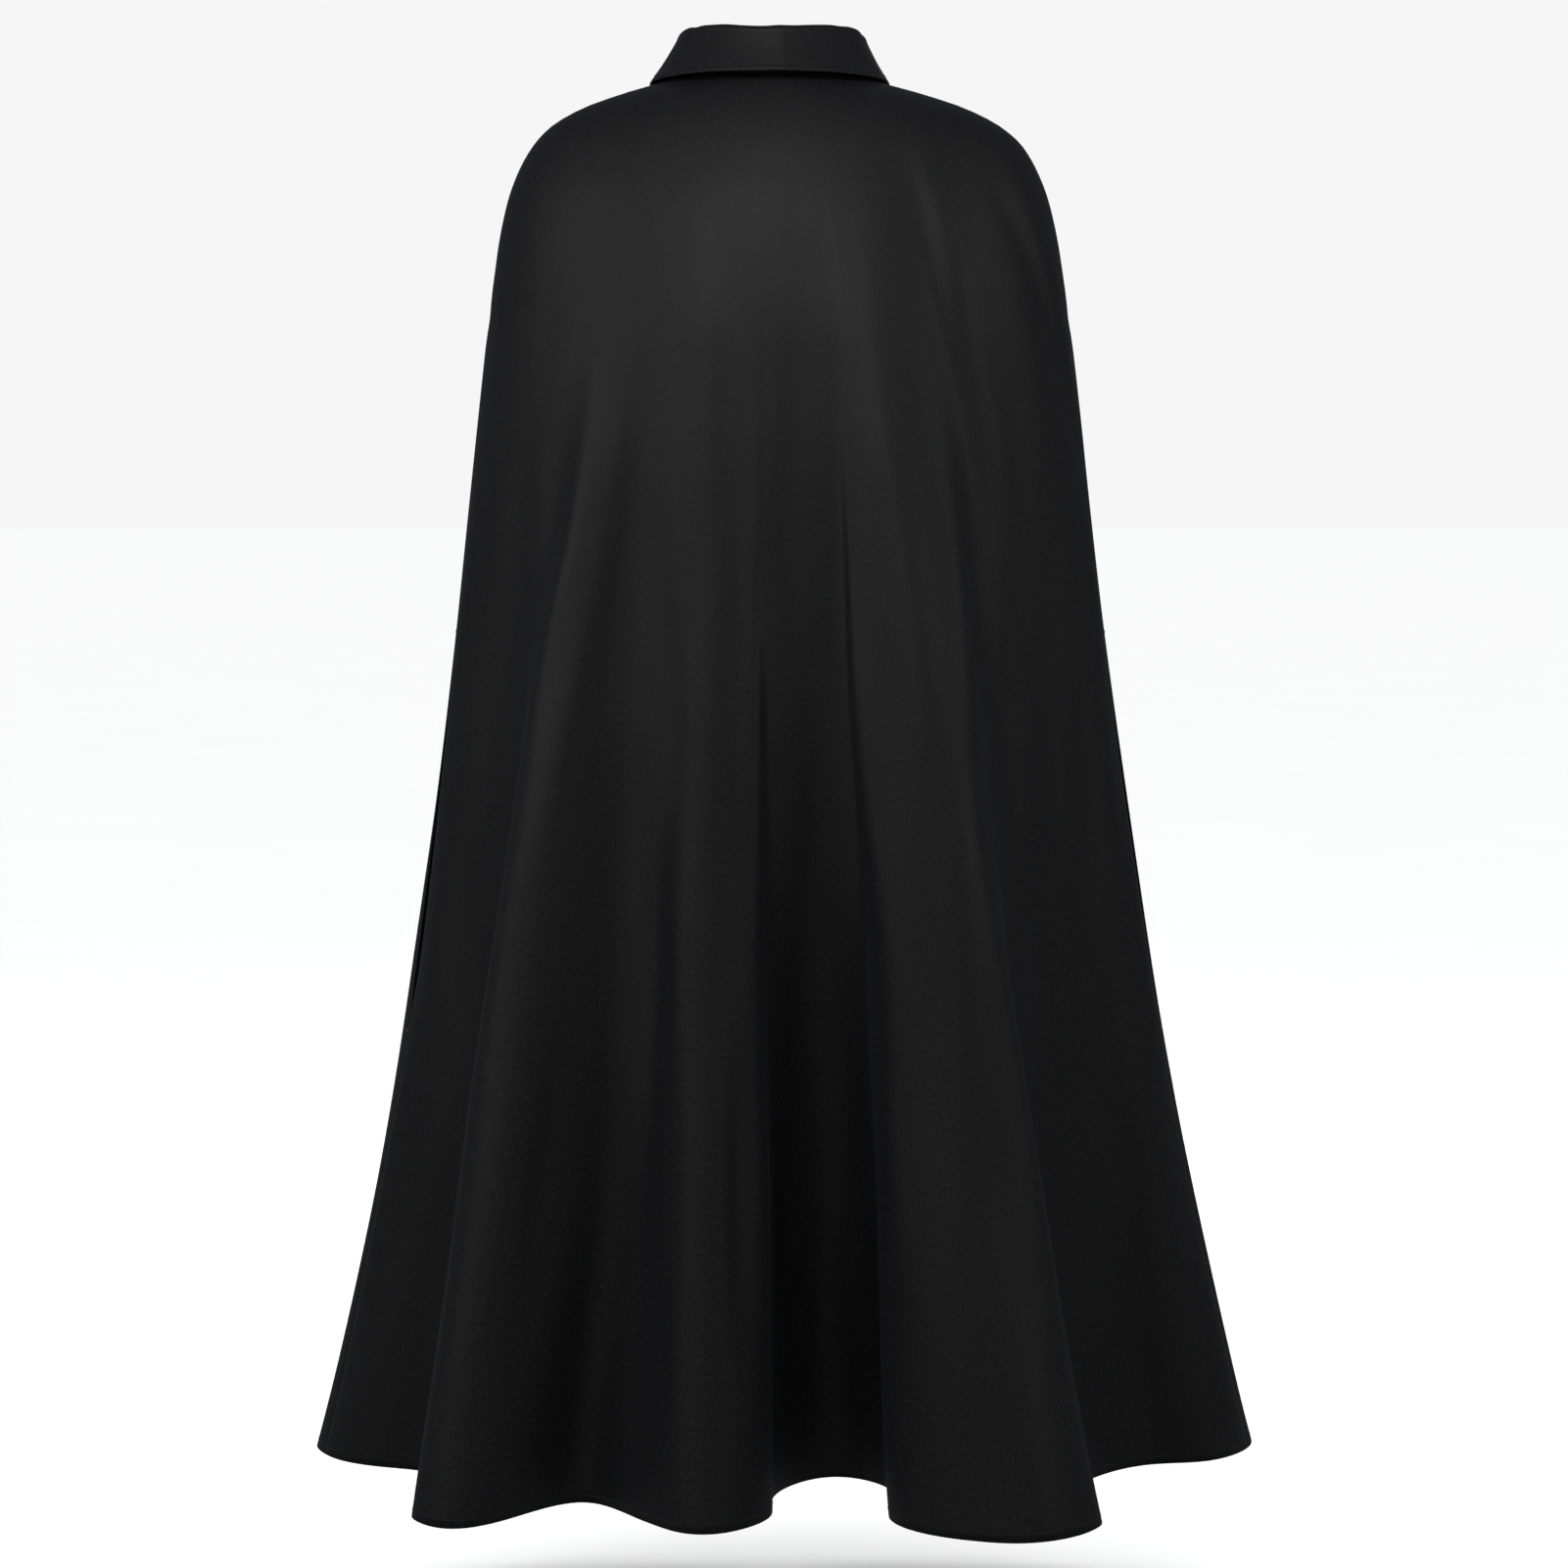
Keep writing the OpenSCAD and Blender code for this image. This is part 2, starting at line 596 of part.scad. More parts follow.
back_panel();
left_front_panel();
right_front_panel();
left_front_edge();
right_front_edge();
stand_inner();
stand_interlining();
stand_outer();
upper_collar();
collar_interlining();
under_collar();
collar_topstitching();
neck_binding();
neck_button();
button_thread();
buttonhole_stitching();
hanging_loop();
loop_bar_tacks();
arm_slit_bar_tacks();
hem_stitching();
left_edge_stitching();
right_edge_stitching();
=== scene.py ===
import math
import bpy
import numpy as np
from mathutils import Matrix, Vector


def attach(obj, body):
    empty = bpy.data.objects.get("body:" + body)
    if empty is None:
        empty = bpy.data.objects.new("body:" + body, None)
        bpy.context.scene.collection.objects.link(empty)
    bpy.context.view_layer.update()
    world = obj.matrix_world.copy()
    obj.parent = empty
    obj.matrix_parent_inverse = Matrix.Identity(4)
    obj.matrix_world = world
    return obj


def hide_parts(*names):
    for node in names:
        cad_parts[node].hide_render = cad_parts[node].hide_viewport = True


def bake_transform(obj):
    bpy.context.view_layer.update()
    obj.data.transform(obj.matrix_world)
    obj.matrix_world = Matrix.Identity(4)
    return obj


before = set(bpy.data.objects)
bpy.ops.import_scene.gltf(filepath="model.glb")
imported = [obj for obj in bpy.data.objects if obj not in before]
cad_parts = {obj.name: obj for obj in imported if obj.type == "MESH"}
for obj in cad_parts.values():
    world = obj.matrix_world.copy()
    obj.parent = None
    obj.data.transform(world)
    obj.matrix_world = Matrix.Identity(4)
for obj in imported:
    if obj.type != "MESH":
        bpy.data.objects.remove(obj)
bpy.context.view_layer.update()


# Back panel: one wide piece of black satin with no centre seam. It is cut as a half ring, gathered
# a little at the neck, and falls in deep folds that open out towards the hem.

cape_length = 1.330
neck_half = 0.088
neck_back = 0.078
neck_front = 0.076
neck_dip, side_rise = 0.070, 0.007
shoulder_half = 0.247
shoulder_drop = 0.082
hem_half = 0.471

# Hanging lines from the left front edge round the back to the right front edge: turn round the
# neck in degrees (90 is the middle of the back), share of half the hem, place at the hem in depth.
LINES = np.array([
    [-89.2, 0.10, -0.272], [-88.6, 0.22, -0.296], [-88, 0.36, -0.262], [-86, 0.45, -0.272],
    [-74, 0.55, -0.294], [-58, 0.68, -0.222], [-40, 0.83, -0.236], [-20, 0.95, -0.178],
    [0, 1.01, -0.108], [14, 0.93, -0.040], [26, 0.81, -0.018], [37, 0.70, 0.000],
    [46, 0.67, 0.092], [55, 0.75, 0.172], [58.5, 0.64, 0.224], [61, 0.51, 0.150],
    [64, 0.40, 0.092], [69, 0.31, 0.150], [77, 0.19, 0.236], [82, 0.08, 0.206],
    [85, 0.01, 0.158], [87, 0.04, 0.098], [90, -0.01, 0.040], [94, -0.10, 0.006],
    [98, -0.19, 0.036], [101, -0.24, 0.096], [103, -0.18, 0.164], [106, -0.26, 0.222],
    [111, -0.42, 0.264], [115.5, -0.55, 0.240], [119.5, -0.63, 0.192], [126, -0.56, 0.118],
    [136, -0.58, 0.050], [148, -0.68, -0.014], [159, -0.78, -0.040], [168, -0.87, -0.036],
    [175, -0.95, -0.072], [181, -1.01, -0.130], [200, -0.95, -0.192], [220, -0.84, -0.240],
    [238, -0.69, -0.224], [254, -0.52, -0.290], [266, -0.44, -0.274], [268, -0.35, -0.262],
    [268.6, -0.20, -0.300], [269.2, -0.06, -0.276]])
last_line = len(LINES) - 1
left_turn, right_turn = 2, last_line - 2
left_seam, right_seam = 8.5, 36.5


def shoulder_share(f):
    return neck_half + (shoulder_half - neck_half) * f


side_profile = np.array([
    [0, neck_half], [0.0082, shoulder_share(0.14)], [0.0197, shoulder_share(0.43)],
    [0.0361, shoulder_share(0.73)], [0.0558, shoulder_share(0.90)], [0.082, shoulder_half],
    [0.129, shoulder_half + 0.015], [0.222, shoulder_half + 0.029]])
back_profile = np.array([
    [0, 0], [0.008, 0.006], [0.020, 0.014], [0.036, 0.023], [0.056, 0.032], [0.082, 0.042],
    [0.129, 0.056], [0.222, 0.070], [0.350, 0.078], [0.600, 0.084], [1.400, 0.072]])
front_profile = np.array([
    [0, 0], [0.008, 0.006], [0.020, 0.014], [0.036, 0.022], [0.056, 0.031], [0.082, 0.041],
    [0.129, 0.055], [0.222, 0.071], [0.350, 0.084], [1.400, 0.160]])
chest_drop, chest_out = 0.140, 0.029
flare_from = shoulder_drop + chest_drop
flare_straight = 0.122
flare_curl = hem_half - shoulder_half - chest_out - flare_straight * (cape_length - flare_from)
fold_start = 0.120
across_power, depth_power = 1.3, 1.7
turn_back_start = 0.150
straight_reach = 1.6


def rounded(drop, profile):
    """The profile's value at each drop, averaged a little so that its corners are soft."""
    reach = np.clip(drop * 0.35, 0.001, 0.030)
    steps = np.linspace(-1, 1, 7)
    return sum(np.interp(np.maximum(drop + s * reach, 0), *profile.T) for s in steps) / len(steps)


def half_width(drop):
    below = np.maximum(drop - flare_from, 0)
    flare = flare_straight * below + flare_curl * (below / (cape_length - flare_from)) ** 3
    return rounded(np.minimum(drop, flare_from + 0.03), side_profile) + flare


def sway(drop):
    return 0.006 * np.minimum(1, drop / 0.060) + 0.009 * drop / cape_length


def seam_height(turn):
    return side_rise * np.cos(turn) ** 2 - neck_dip * ((1 - np.sin(turn)) / 2) ** 3


def grown(drop, power):
    return (np.maximum(0, drop - fold_start) / (cape_length - fold_start)) ** power


def smooth_cape(turn, drop):
    """The cape without its folds, at a turn in radians and a drop."""
    behind = np.sin(turn) > 0
    depth = np.where(behind, neck_back + rounded(drop, back_profile),
                     neck_front + rounded(drop, front_profile))
    return np.stack([half_width(drop) * np.cos(turn) - sway(drop), depth * np.sin(turn),
                     seam_height(turn) * (1 - drop / cape_length) - drop], axis=-1)


def hanging_lines(drop):
    """Every line at every drop, with one more line past each end: lines x drops x 3."""
    turn = np.radians(LINES[:, :1])
    points = smooth_cape(turn, drop[None, :])
    hem = smooth_cape(turn[:, 0], np.full(len(LINES), cape_length))
    aside = LINES[:, 1] * hem_half - sway(cape_length) - hem[:, 0]
    points[..., 0] += aside[:, None] * grown(drop, across_power)
    points[..., 1] += (LINES[:, 2] - hem[:, 1])[:, None] * grown(drop, depth_power)
    return np.concatenate([2 * points[:1] - points[1:2], points, 2 * points[-1:] - points[-2:-1]])


def across_lines(values, u):
    """Cubic B-spline across the lines. values has one more line past each end; u is columns x drops."""
    k = np.clip(np.floor(u), 0, last_line - 1).astype(int)
    f = u - k
    weights = [(1 - f) ** 3, 3 * f ** 3 - 6 * f ** 2 + 4,
               -3 * f ** 3 + 3 * f ** 2 + 3 * f + 1, f ** 3]
    rows = np.arange(u.shape[1])[None, :]
    if values.ndim == 3:
        return sum(w[..., None] * values[k + i, rows] for i, w in enumerate(weights)) / 6
    return sum(w * values[k + i] for i, w in enumerate(weights)) / 6


def line_ends(turn):
    """The two ends of the straight line along which a front edge turns back."""
    ends = np.array([turn_back_start, cape_length])
    return across_lines(hanging_lines(ends), np.full((1, 2), float(turn)))[0]


turn_lines = {turn: line_ends(turn) for turn in (left_turn, right_turn)}
neck_ease = 0.040


def hang(u, drop):
    """Points of the hanging cloth: u is columns x drops, drop is one value a row."""
    points = across_lines(hanging_lines(drop), u)
    turns = np.radians(LINES[:, 0])
    turn = across_lines(np.concatenate([turns[:1], turns, turns[-1:]]), u)
    behind = np.where(np.sin(turn) > 0, neck_back, neck_front)
    neck = np.stack([neck_half * np.cos(turn), behind * np.sin(turn), seam_height(turn)], axis=-1)
    at_neck = across_lines(hanging_lines(np.zeros(len(drop))), u)
    ease = np.maximum(0, 1 - drop / neck_ease) ** 2
    points += ease[None, :, None] * (neck - at_neck)
    for line, (top, foot) in turn_lines.items():
        share = (drop - turn_back_start) / (cape_length - turn_back_start)
        straight = top + (foot - top) * share[:, None]
        rough = across_lines(hanging_lines(drop), np.full((1, len(drop)), float(line)))[0]
        near = np.maximum(0, 1 - ((u - line) / straight_reach) ** 2) ** 2 * (share > 0)
        points += near[..., None] * (straight - rough)[None]
    return points


def girth(points):
    """How far along each row every point is, in metres."""
    steps = np.linalg.norm(np.diff(points, axis=0), axis=-1)
    return np.concatenate([np.zeros((1, points.shape[1])), np.cumsum(steps, axis=0)])


# Folds and creases laid over the hanging lines: each runs through (line, drop) points, and has its
# width, how far it stands out (+) or sinks in (-), and the length over which its ends die away.
CREASES = [
    ([(13.3, 0.34), (12.7, 0.52), (12.6, 0.80), (13.0, 1.33)], 0.013, 0.0065, 0.26),
    ([(29.4, 0.72), (30.0, 1.05), (30.0, 1.33)], 0.013, 0.0060, 0.20),
    ([(15.2, 0.42), (14.9, 0.60), (14.7, 1.15)], 0.020, -0.0085, 0.32),
    ([(17.0, 0.52), (16.9, 0.85), (16.9, 1.20)], 0.015, -0.0055, 0.36),
    ([(17.7, 0.16), (17.9, 0.60), (18.0, 1.33)], 0.026, 0.0060, 0.35),
    ([(19.0, 0.24), (19.0, 0.60), (19.1, 1.15)], 0.022, -0.0095, 0.34),
    ([(22.6, 0.36), (22.6, 0.76)], 0.060, 0.0060, 0.45),
    ([(25.6, 0.34), (25.3, 0.57), (25.7, 0.73), (26.4, 1.10)], 0.020, -0.0085, 0.34),
    ([(27.3, 0.22), (28.3, 0.56), (28.6, 0.85)], 0.026, 0.0075, 0.34),
    ([(29.8, 0.10), (30.4, 0.22), (31.4, 0.44)], 0.014, -0.0050, 0.16),
    ([(30.7, 0.10), (31.3, 0.22), (32.3, 0.42)], 0.016, 0.0036, 0.16),
    ([(32.6, 0.11), (33.8, 0.20), (35.3, 0.35)], 0.014, -0.0038, 0.14),
    ([(33.4, 0.12), (34.6, 0.22), (35.9, 0.34)], 0.014, 0.0024, 0.14)]


def creased(u, drop, pitch):
    """How far the creases move the cloth along its normal."""
    moved = np.zeros(u.shape)
    for path, width, height, fade in CREASES:
        lines, drops = np.array(path).T
        middle = np.interp(drop, drops, lines)
        begun = np.clip((drop - drops[0]) / fade + 0.5, 0, 1)
        left = np.clip((drops[-1] - drop) / fade + 0.5, 0, 1) if drops[-1] < 1.3 else 1.0
        strength = begun ** 2 * (3 - 2 * begun) * left ** 2 * (3 - 2 * left)
        off = (u - middle[None]) * pitch / width
        moved += height * strength[None] / np.cosh(np.clip(off, -12, 12))
    return moved


swing_start, swing_reach = 0.42, 0.021


def swung_out(u, drop):
    """How far the big fold on the wearer's left swings out sideways below the hips."""
    share = np.clip((drop - swing_start) / (cape_length - swing_start), 0, 1)
    return swing_reach * np.exp(-((u - 13) / 1.6) ** 2) * np.sin(math.pi * share)[None]


waves = np.random.RandomState(11)
WAVE_COUNT = 22
wave_height = 0.00030
wave_across = 2 * math.pi / waves.uniform(0.055, 0.170, WAVE_COUNT)
wave_down = 2 * math.pi / waves.uniform(0.30, 0.90, WAVE_COUNT) * waves.choice([-1, 1], WAVE_COUNT)
wave_start = waves.uniform(0, 2 * math.pi, WAVE_COUNT)


def rippled(across, drop):
    """Soft, long ripples, about a millimetre high, that calm down towards the neck."""
    total = sum(np.sin(a * across + b * drop[None] + c)
                for a, b, c in zip(wave_across, wave_down, wave_start))
    return wave_height * total * np.clip(drop / 0.5 - 0.3, 0, 1)[None]


cloth_thickness = 0.0005
turned_lift = 0.0011


def turned_in(count, allowance, turned):
    """Places from 0 to 1 across a cut piece, a column of numbers for each row, and how many layers
    under each one lies: past an edge that is turned in, the cloth runs back beneath itself."""
    place = np.linspace(0, 1, count)[:, None] * np.ones((1, len(allowance)))
    under = np.zeros(count)
    steps = np.array([0.0, 0.15, 0.5, 1.0])[:, None] * allowance[None]
    depths = np.array([0.55, 1, 1, 1])
    if turned[0]:
        place, under = np.concatenate([steps[::-1], place]), np.concatenate([depths[::-1], under])
    if turned[1]:
        place, under = np.concatenate([place, 1 - steps]), np.concatenate([under, depths])
    return place, under


def cloth_object(name, points, uv, material, thickness=cloth_thickness):
    """A sheet of cloth from a columns x rows grid: quads with a UV map in metres, shaded smooth
    and given its thickness, unless it is already a closed roll."""
    n, m = points.shape[:2]
    mesh = bpy.data.meshes.new(name)
    mesh.vertices.add(n * m)
    mesh.vertices.foreach_set("co", points.reshape(-1).astype(np.float32))
    corner = (np.arange(n - 1)[:, None] * m + np.arange(m - 1)[None]).ravel()
    quads = np.stack([corner, corner + m, corner + m + 1, corner + 1], axis=1)
    mesh.loops.add(quads.size)
    mesh.loops.foreach_set("vertex_index", quads.ravel().astype(np.int32))
    mesh.polygons.add(len(quads))
    mesh.polygons.foreach_set("loop_start", (np.arange(len(quads)) * 4).astype(np.int32))
    mesh.polygons.foreach_set("use_smooth", np.ones(len(quads), bool))
    layer = mesh.uv_layers.new(name="cloth")
    layer.data.foreach_set("uv", uv.reshape(-1, 2)[quads.ravel()].ravel().astype(np.float32))
    mesh.update(calc_edges=True)
    mesh.materials.append(material)
    piece = bpy.data.objects.new(name, mesh)
    bpy.context.scene.collection.objects.link(piece)
    if thickness is None:
        return piece
    bpy.ops.object.select_all(action="DESELECT")
    bpy.context.view_layer.objects.active = piece
    piece.select_set(True)
    wall = piece.modifiers.new("thickness", "SOLIDIFY")
    wall.thickness = thickness
    wall.offset = 0
    bpy.ops.object.modifier_apply(modifier="thickness")
    return piece


def new_material(name):
    """A material with its node tree and its shader."""
    material = bpy.data.materials.new(name)
    material.use_nodes = True
    return material, material.node_tree, material.node_tree.nodes["Principled BSDF"]


def add_noise(tree, vector, scale, detail=2.0, distortion=0.0):
    texture = tree.nodes.new("ShaderNodeTexNoise")
    for field, value in (("Scale", scale), ("Detail", detail), ("Distortion", distortion)):
        texture.inputs[field].default_value = value
    tree.links.new(vector, texture.inputs["Vector"])
    return texture.outputs["Fac"]


def add_shades(tree, factor, dark, light, start=0.0, end=1.0):
    """Two colours mixed by a factor."""
    ramp = tree.nodes.new("ShaderNodeValToRGB")
    for stop, place, colour in zip(ramp.color_ramp.elements, (start, end), (dark, light)):
        stop.position = place
        stop.color = (*colour, 1)
    tree.links.new(factor, ramp.inputs["Fac"])
    return ramp.outputs["Color"]


def add_range(tree, value, low, high, start=0.0, end=1.0):
    """A value from start to end, made to run from low to high."""
    spread = tree.nodes.new("ShaderNodeMapRange")
    for field, number in (("From Min", start), ("From Max", end), ("To Min", low), ("To Max", high)):
        spread.inputs[field].default_value = number
    tree.links.new(value, spread.inputs["Value"])
    return spread.outputs["Result"]


def add_relief(tree, height, strength, distance, over=None):
    """Fine relief from a height, over another relief where there is one."""
    bump = tree.nodes.new("ShaderNodeBump")
    bump.inputs["Strength"].default_value = strength
    bump.inputs["Distance"].default_value = distance
    tree.links.new(height, bump.inputs["Height"])
    if over:
        tree.links.new(over, bump.inputs["Normal"])
    return bump.outputs["Normal"]


def satin(name, colour, roughness):
    """Woven satin: long floats along the cloth, a fine uneven glitter, also painted into the base colour as
    specks of painted glint, and soft changes of shine.
    """
    material, tree, shader = new_material(name)
    shader.inputs["Specular IOR Level"].default_value = 0.27
    shader.inputs["Sheen Weight"].default_value = 0.03
    shader.inputs["Sheen Roughness"].default_value = 0.45
    shader.inputs["Sheen Tint"].default_value = (0.75, 0.8, 0.9, 1)
    place = tree.nodes.new("ShaderNodeUVMap")
    place.uv_map = "cloth"

    def woven(scale, detail, stretch):
        mapping = tree.nodes.new("ShaderNodeMapping")
        mapping.inputs["Scale"].default_value = (1, stretch, 1)
        tree.links.new(place.outputs["UV"], mapping.inputs["Vector"])
        return add_noise(tree, mapping.outputs["Vector"], scale, detail)

    floats, glitter, cloudy = woven(900, 2, 0.35), woven(420, 3, 0.6), woven(7, 3, 0.5)
    # Painted glints: the glitter noise makes the base colour lighter and darker in fine specks.
    shades = add_shades(tree, glitter, [0.60 * c for c in colour], [1.50 * c for c in colour], 0.30, 0.72)
    tree.links.new(shades, shader.inputs["Base Color"])
    mixed = tree.nodes.new("ShaderNodeMath")
    mixed.operation = "MULTIPLY_ADD"
    mixed.inputs[1].default_value = 0.55
    tree.links.new(glitter, mixed.inputs[0])
    tree.links.new(cloudy, mixed.inputs[2])
    shine = add_range(tree, mixed.outputs["Value"], roughness - 0.05, roughness + 0.06, 0.45, 1.05)
    tree.links.new(shine, shader.inputs["Roughness"])
    weave = add_relief(tree, floats, 0.35, 0.00012)
    tree.links.new(add_relief(tree, glitter, 0.8, 0.00025, weave), shader.inputs["Normal"])
    return material


black_satin = satin("black_satin", (0.0118, 0.0119, 0.0132), 0.50)

slit_top, slit_length = 0.520, 0.380
slit_gap = 0.010
slit_ease = 0.060
seam_gap = 0.00008
hem_turn = 0.009
seam_turn = 0.012


def slit_open(drop):
    inside = np.minimum(drop - slit_top, slit_top + slit_length - drop) / slit_ease
    inside = np.clip(inside, 0, 1)
    return slit_gap / 2 * inside ** 2 * (3 - 2 * inside)


def line_pitch(u, drop):
    """Metres of cloth in one line's width."""
    near = hang(np.array([[u - 0.5], [u + 0.5]]) * np.ones((1, len(drop))), drop)
    return np.linalg.norm(near[1] - near[0], axis=-1)


across_u = np.linspace(-1, last_line + 1, 700)
across_m = girth(hang(across_u[:, None], np.array([0.8])))[:, 0]
small_u, small_drop = 0.01, 0.0015


def draped(u, drop):
    """The cloth with its creases and ripples."""
    points = hang(u, drop)
    aside = (hang(u + small_u, drop) - hang(u - small_u, drop)) / (2 * small_u)
    down = hang(u, drop + small_drop) - hang(u, np.maximum(drop - small_drop, 0))
    normal = np.cross(down, aside)
    normal /= np.linalg.norm(normal, axis=-1, keepdims=True)
    pitch = np.linalg.norm(aside, axis=-1)
    out = creased(u, drop, pitch) + rippled(np.interp(u, across_u, across_m), drop)
    points[..., 0] += swung_out(u, drop)
    return points + (out * np.clip(drop / 0.04, 0, 1)[None])[..., None] * normal


def outward(u, drop):
    """Outward unit normals of the draped cloth."""
    down = draped(u, drop + small_drop) - draped(u, np.maximum(drop - small_drop, 0))
    aside = draped(u + small_u, drop) - draped(u - small_u, drop)
    normal = np.cross(down, aside)
    return normal / np.linalg.norm(normal, axis=-1, keepdims=True)


def panel(name, left, right, columns, rows, turned, material):
    """A panel between two edges, each a function of the drop, with its hem and edges turned in."""
    fall, hem_under = turned_in(rows, np.array([hem_turn / cape_length]), (False, True))
    fall = fall[:, 0]
    drop = cape_length * (0.35 * fall ** 1.5 + 0.65 * fall)
    left_u, right_u = left(drop), right(drop)
    coarse = left_u[None] + (right_u - left_u)[None] * np.linspace(0, 1, 60)[:, None]
    width = girth(hang(coarse, drop))[-1]
    place, edge_under = turned_in(columns, seam_turn / width, turned)
    u = left_u[None] + (right_u - left_u)[None] * place
    layers = edge_under[:, None] + hem_under[None]
    points = draped(u, drop) - turned_lift * layers[..., None] * outward(u, drop)
    uv = np.stack([np.interp(u, across_u, across_m), np.broadcast_to(drop, u.shape)], axis=-1)
    return cloth_object(name, points, uv, material)


def seam_edge(seam, side):
    """An edge along a side seam, drawn back where the arm slit opens."""
    return lambda drop: seam + side * (seam_gap + slit_open(drop)) / line_pitch(seam, drop)


back_panel = panel("back_panel_cloth", seam_edge(left_seam, 1), seam_edge(right_seam, -1),
                   244, 172, (True, True), black_satin)
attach(back_panel, "cape")
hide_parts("back_panel")


# Front panels: one piece of the same satin each side, joined to the back in the side seams. Their
# front edges are turned in and topstitched, and the cloth lies straight along the line where each would
# turn back from the chest down.

front_edge_in = 0.035


def hinge(turn, edge):
    """Where a front begins to turn back: a point on the turning line and one past it."""
    top, foot = turn_lines[turn]
    along = (foot - top) / np.linalg.norm(foot - top)
    reach = hang(np.array([[float(edge)]]), np.array([cape_length]))[0, 0] - foot
    reach -= along * (reach @ along)
    reach /= np.linalg.norm(reach)
    return Vector(top), Vector(top + front_edge_in * reach)


def keep_at(line):
    return lambda drop: np.full(len(drop), float(line))


left_hinge = hinge(left_turn, 0)
right_hinge = hinge(right_turn, last_line)
fronts = {}
for side, left, right, joint_ends, body in (
        ("left", keep_at(0), seam_edge(left_seam, -1), left_hinge, "left_edge"),
        ("right", seam_edge(right_seam, 1), keep_at(last_line), right_hinge, "right_edge")):
    front = panel(side + "_front_cloth", left, right, 124, 172, (True, True), black_satin)
    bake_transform(front)
    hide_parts(side + "_front_panel", side + "_front_edge")
    fronts[side] = front


# Thread: polyester sewing thread in the same black, about 0.4 mm thick. A run of stitching is one
# piece, made of short stitches that dip into the cloth at both ends.

def thread_material(name):
    """Twisted thread with fine fibres."""
    material, tree, shader = new_material(name)
    shader.inputs["Sheen Weight"].default_value = 0.25
    place = tree.nodes.new("ShaderNodeTexCoord").outputs["Object"]
    twist = tree.nodes.new("ShaderNodeTexWave")
    twist.inputs["Scale"].default_value = 900
    twist.inputs["Distortion"].default_value = 2
    tree.links.new(place, twist.inputs["Vector"])
    fibres = add_noise(tree, place, 1500)
    shades = add_shades(tree, fibres, (0.006, 0.006, 0.007), (0.020, 0.020, 0.022))
    tree.links.new(shades, shader.inputs["Base Color"])
    tree.links.new(add_range(tree, fibres, 0.42, 0.62), shader.inputs["Roughness"])
    tree.links.new(add_relief(tree, twist.outputs["Fac"], 0.5, 0.0001), shader.inputs["Normal"])
    return material


black_thread = thread_material("black_thread")
stitch_length, stitch_gap, thread_radius = 0.0026, 0.0006, 0.00022


def stitch_shapes(lines, normals, length=stitch_length, gap=stitch_gap, radius=thread_radius):
    """Corners and faces of the stitches along each polyline: four-sided, fat in the middle."""
    corners, faces = [], []
    for line, normal in zip(lines, normals):
        walked = np.concatenate([[0], np.cumsum(np.linalg.norm(np.diff(line, axis=0), axis=1))])
        count = max(1, int(walked[-1] / (length + gap)))
        for i in range(count):
            begin = i * walked[-1] / count
            stations = begin + np.array([0.0, 0.22, 0.78, 1.0]) * length
            centre = np.stack([np.interp(stations, walked, line[:, k]) for k in range(3)], axis=1)
            up = np.stack([np.interp(stations, walked, normal[:, k]) for k in range(3)], axis=1)
            up /= np.linalg.norm(up, axis=1, keepdims=True)
            way = centre[-1] - centre[0]
            way /= np.linalg.norm(way)
            aside = np.cross(up, way)
            lift = np.array([-0.6, 0.55, 0.55, -0.6])[:, None] * radius
            first = len(corners)
            for k, size in enumerate((0.45, 1.0, 1.0, 0.45)):
                for a, b in ((1, 0), (0, 1), (-1, 0), (0, -1)):
                    corners.append(centre[k] + lift[k] * up[k] + radius * size * (a * aside[k] + b * up[k]))
            for k in range(3):
                for q in range(4):
                    here, there = first + 4 * k + q, first + 4 * k + (q + 1) % 4
                    faces.append((here, there, there + 4, here + 4))
            faces.append((first + 3, first + 2, first + 1, first))
            faces.append((first + 12, first + 13, first + 14, first + 15))
    return corners, faces


def thread_solid(name, corners, faces):
    """A smooth-shaded piece of black thread from its corners and faces."""
    mesh = bpy.data.meshes.new(name)
    mesh.from_pydata([tuple(c) for c in corners], [], faces)
    mesh.polygons.foreach_set("use_smooth", np.ones(len(faces), bool))
    mesh.materials.append(black_thread)
    mesh.update()
    piece = bpy.data.objects.new(name, mesh)
    bpy.context.scene.collection.objects.link(piece)
    return piece


def thread_object(name, lines, normals, **sizes):
    return thread_solid(name, *stitch_shapes(lines, normals, **sizes))


def run_along_hem(first, last, count):
    """A row of points round the hem, a little above its edge, with the way out of the cloth."""
    drop = np.array([cape_length - hem_turn + 0.0015])
    u = np.linspace(first, last, count)[:, None]
    return draped(u, drop)[:, 0], outward(u, drop)[:, 0]


def run_down(u_of_drop, low, high, count):
    """A row of points down the cloth at a line that may change with the drop."""
    drop = np.linspace(low, high, count)
    u = u_of_drop(drop)[None]
    return draped(u, drop)[0], outward(u, drop)[0]


def seen(run):
    """A run lifted to the outer face of the cloth."""
    return run[0] + run[1] * cloth_thickness / 2, run[1]


hem_runs = [seen(run_along_hem(left_seam + 0.02, right_seam - 0.02, 1100))]
hem_stitches = thread_object("hem_stitches", [r[0] for r in hem_runs], [r[1] for r in hem_runs])
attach(hem_stitches, "cape")
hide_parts("hem_stitching")
front_stitch_in = 0.009
for side, edge, seam, way, joint_ends in (("left", 0, left_seam, 1, left_hinge),
                                          ("right", last_line, right_seam, -1, right_hinge)):
    inner = lambda drop: edge + way * front_stitch_in / line_pitch(edge + way * 0.5, drop)
    runs = [seen(run_down(inner, 0.015, cape_length - hem_turn, 500)),
            seen(run_along_hem(edge + way * 0.02, seam - way * 0.03, 500))]
    stitches = thread_object(side + "_front_stitches", [r[0] for r in runs], [r[1] for r in runs])
    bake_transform(stitches)
    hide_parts(side + "_edge_stitching")


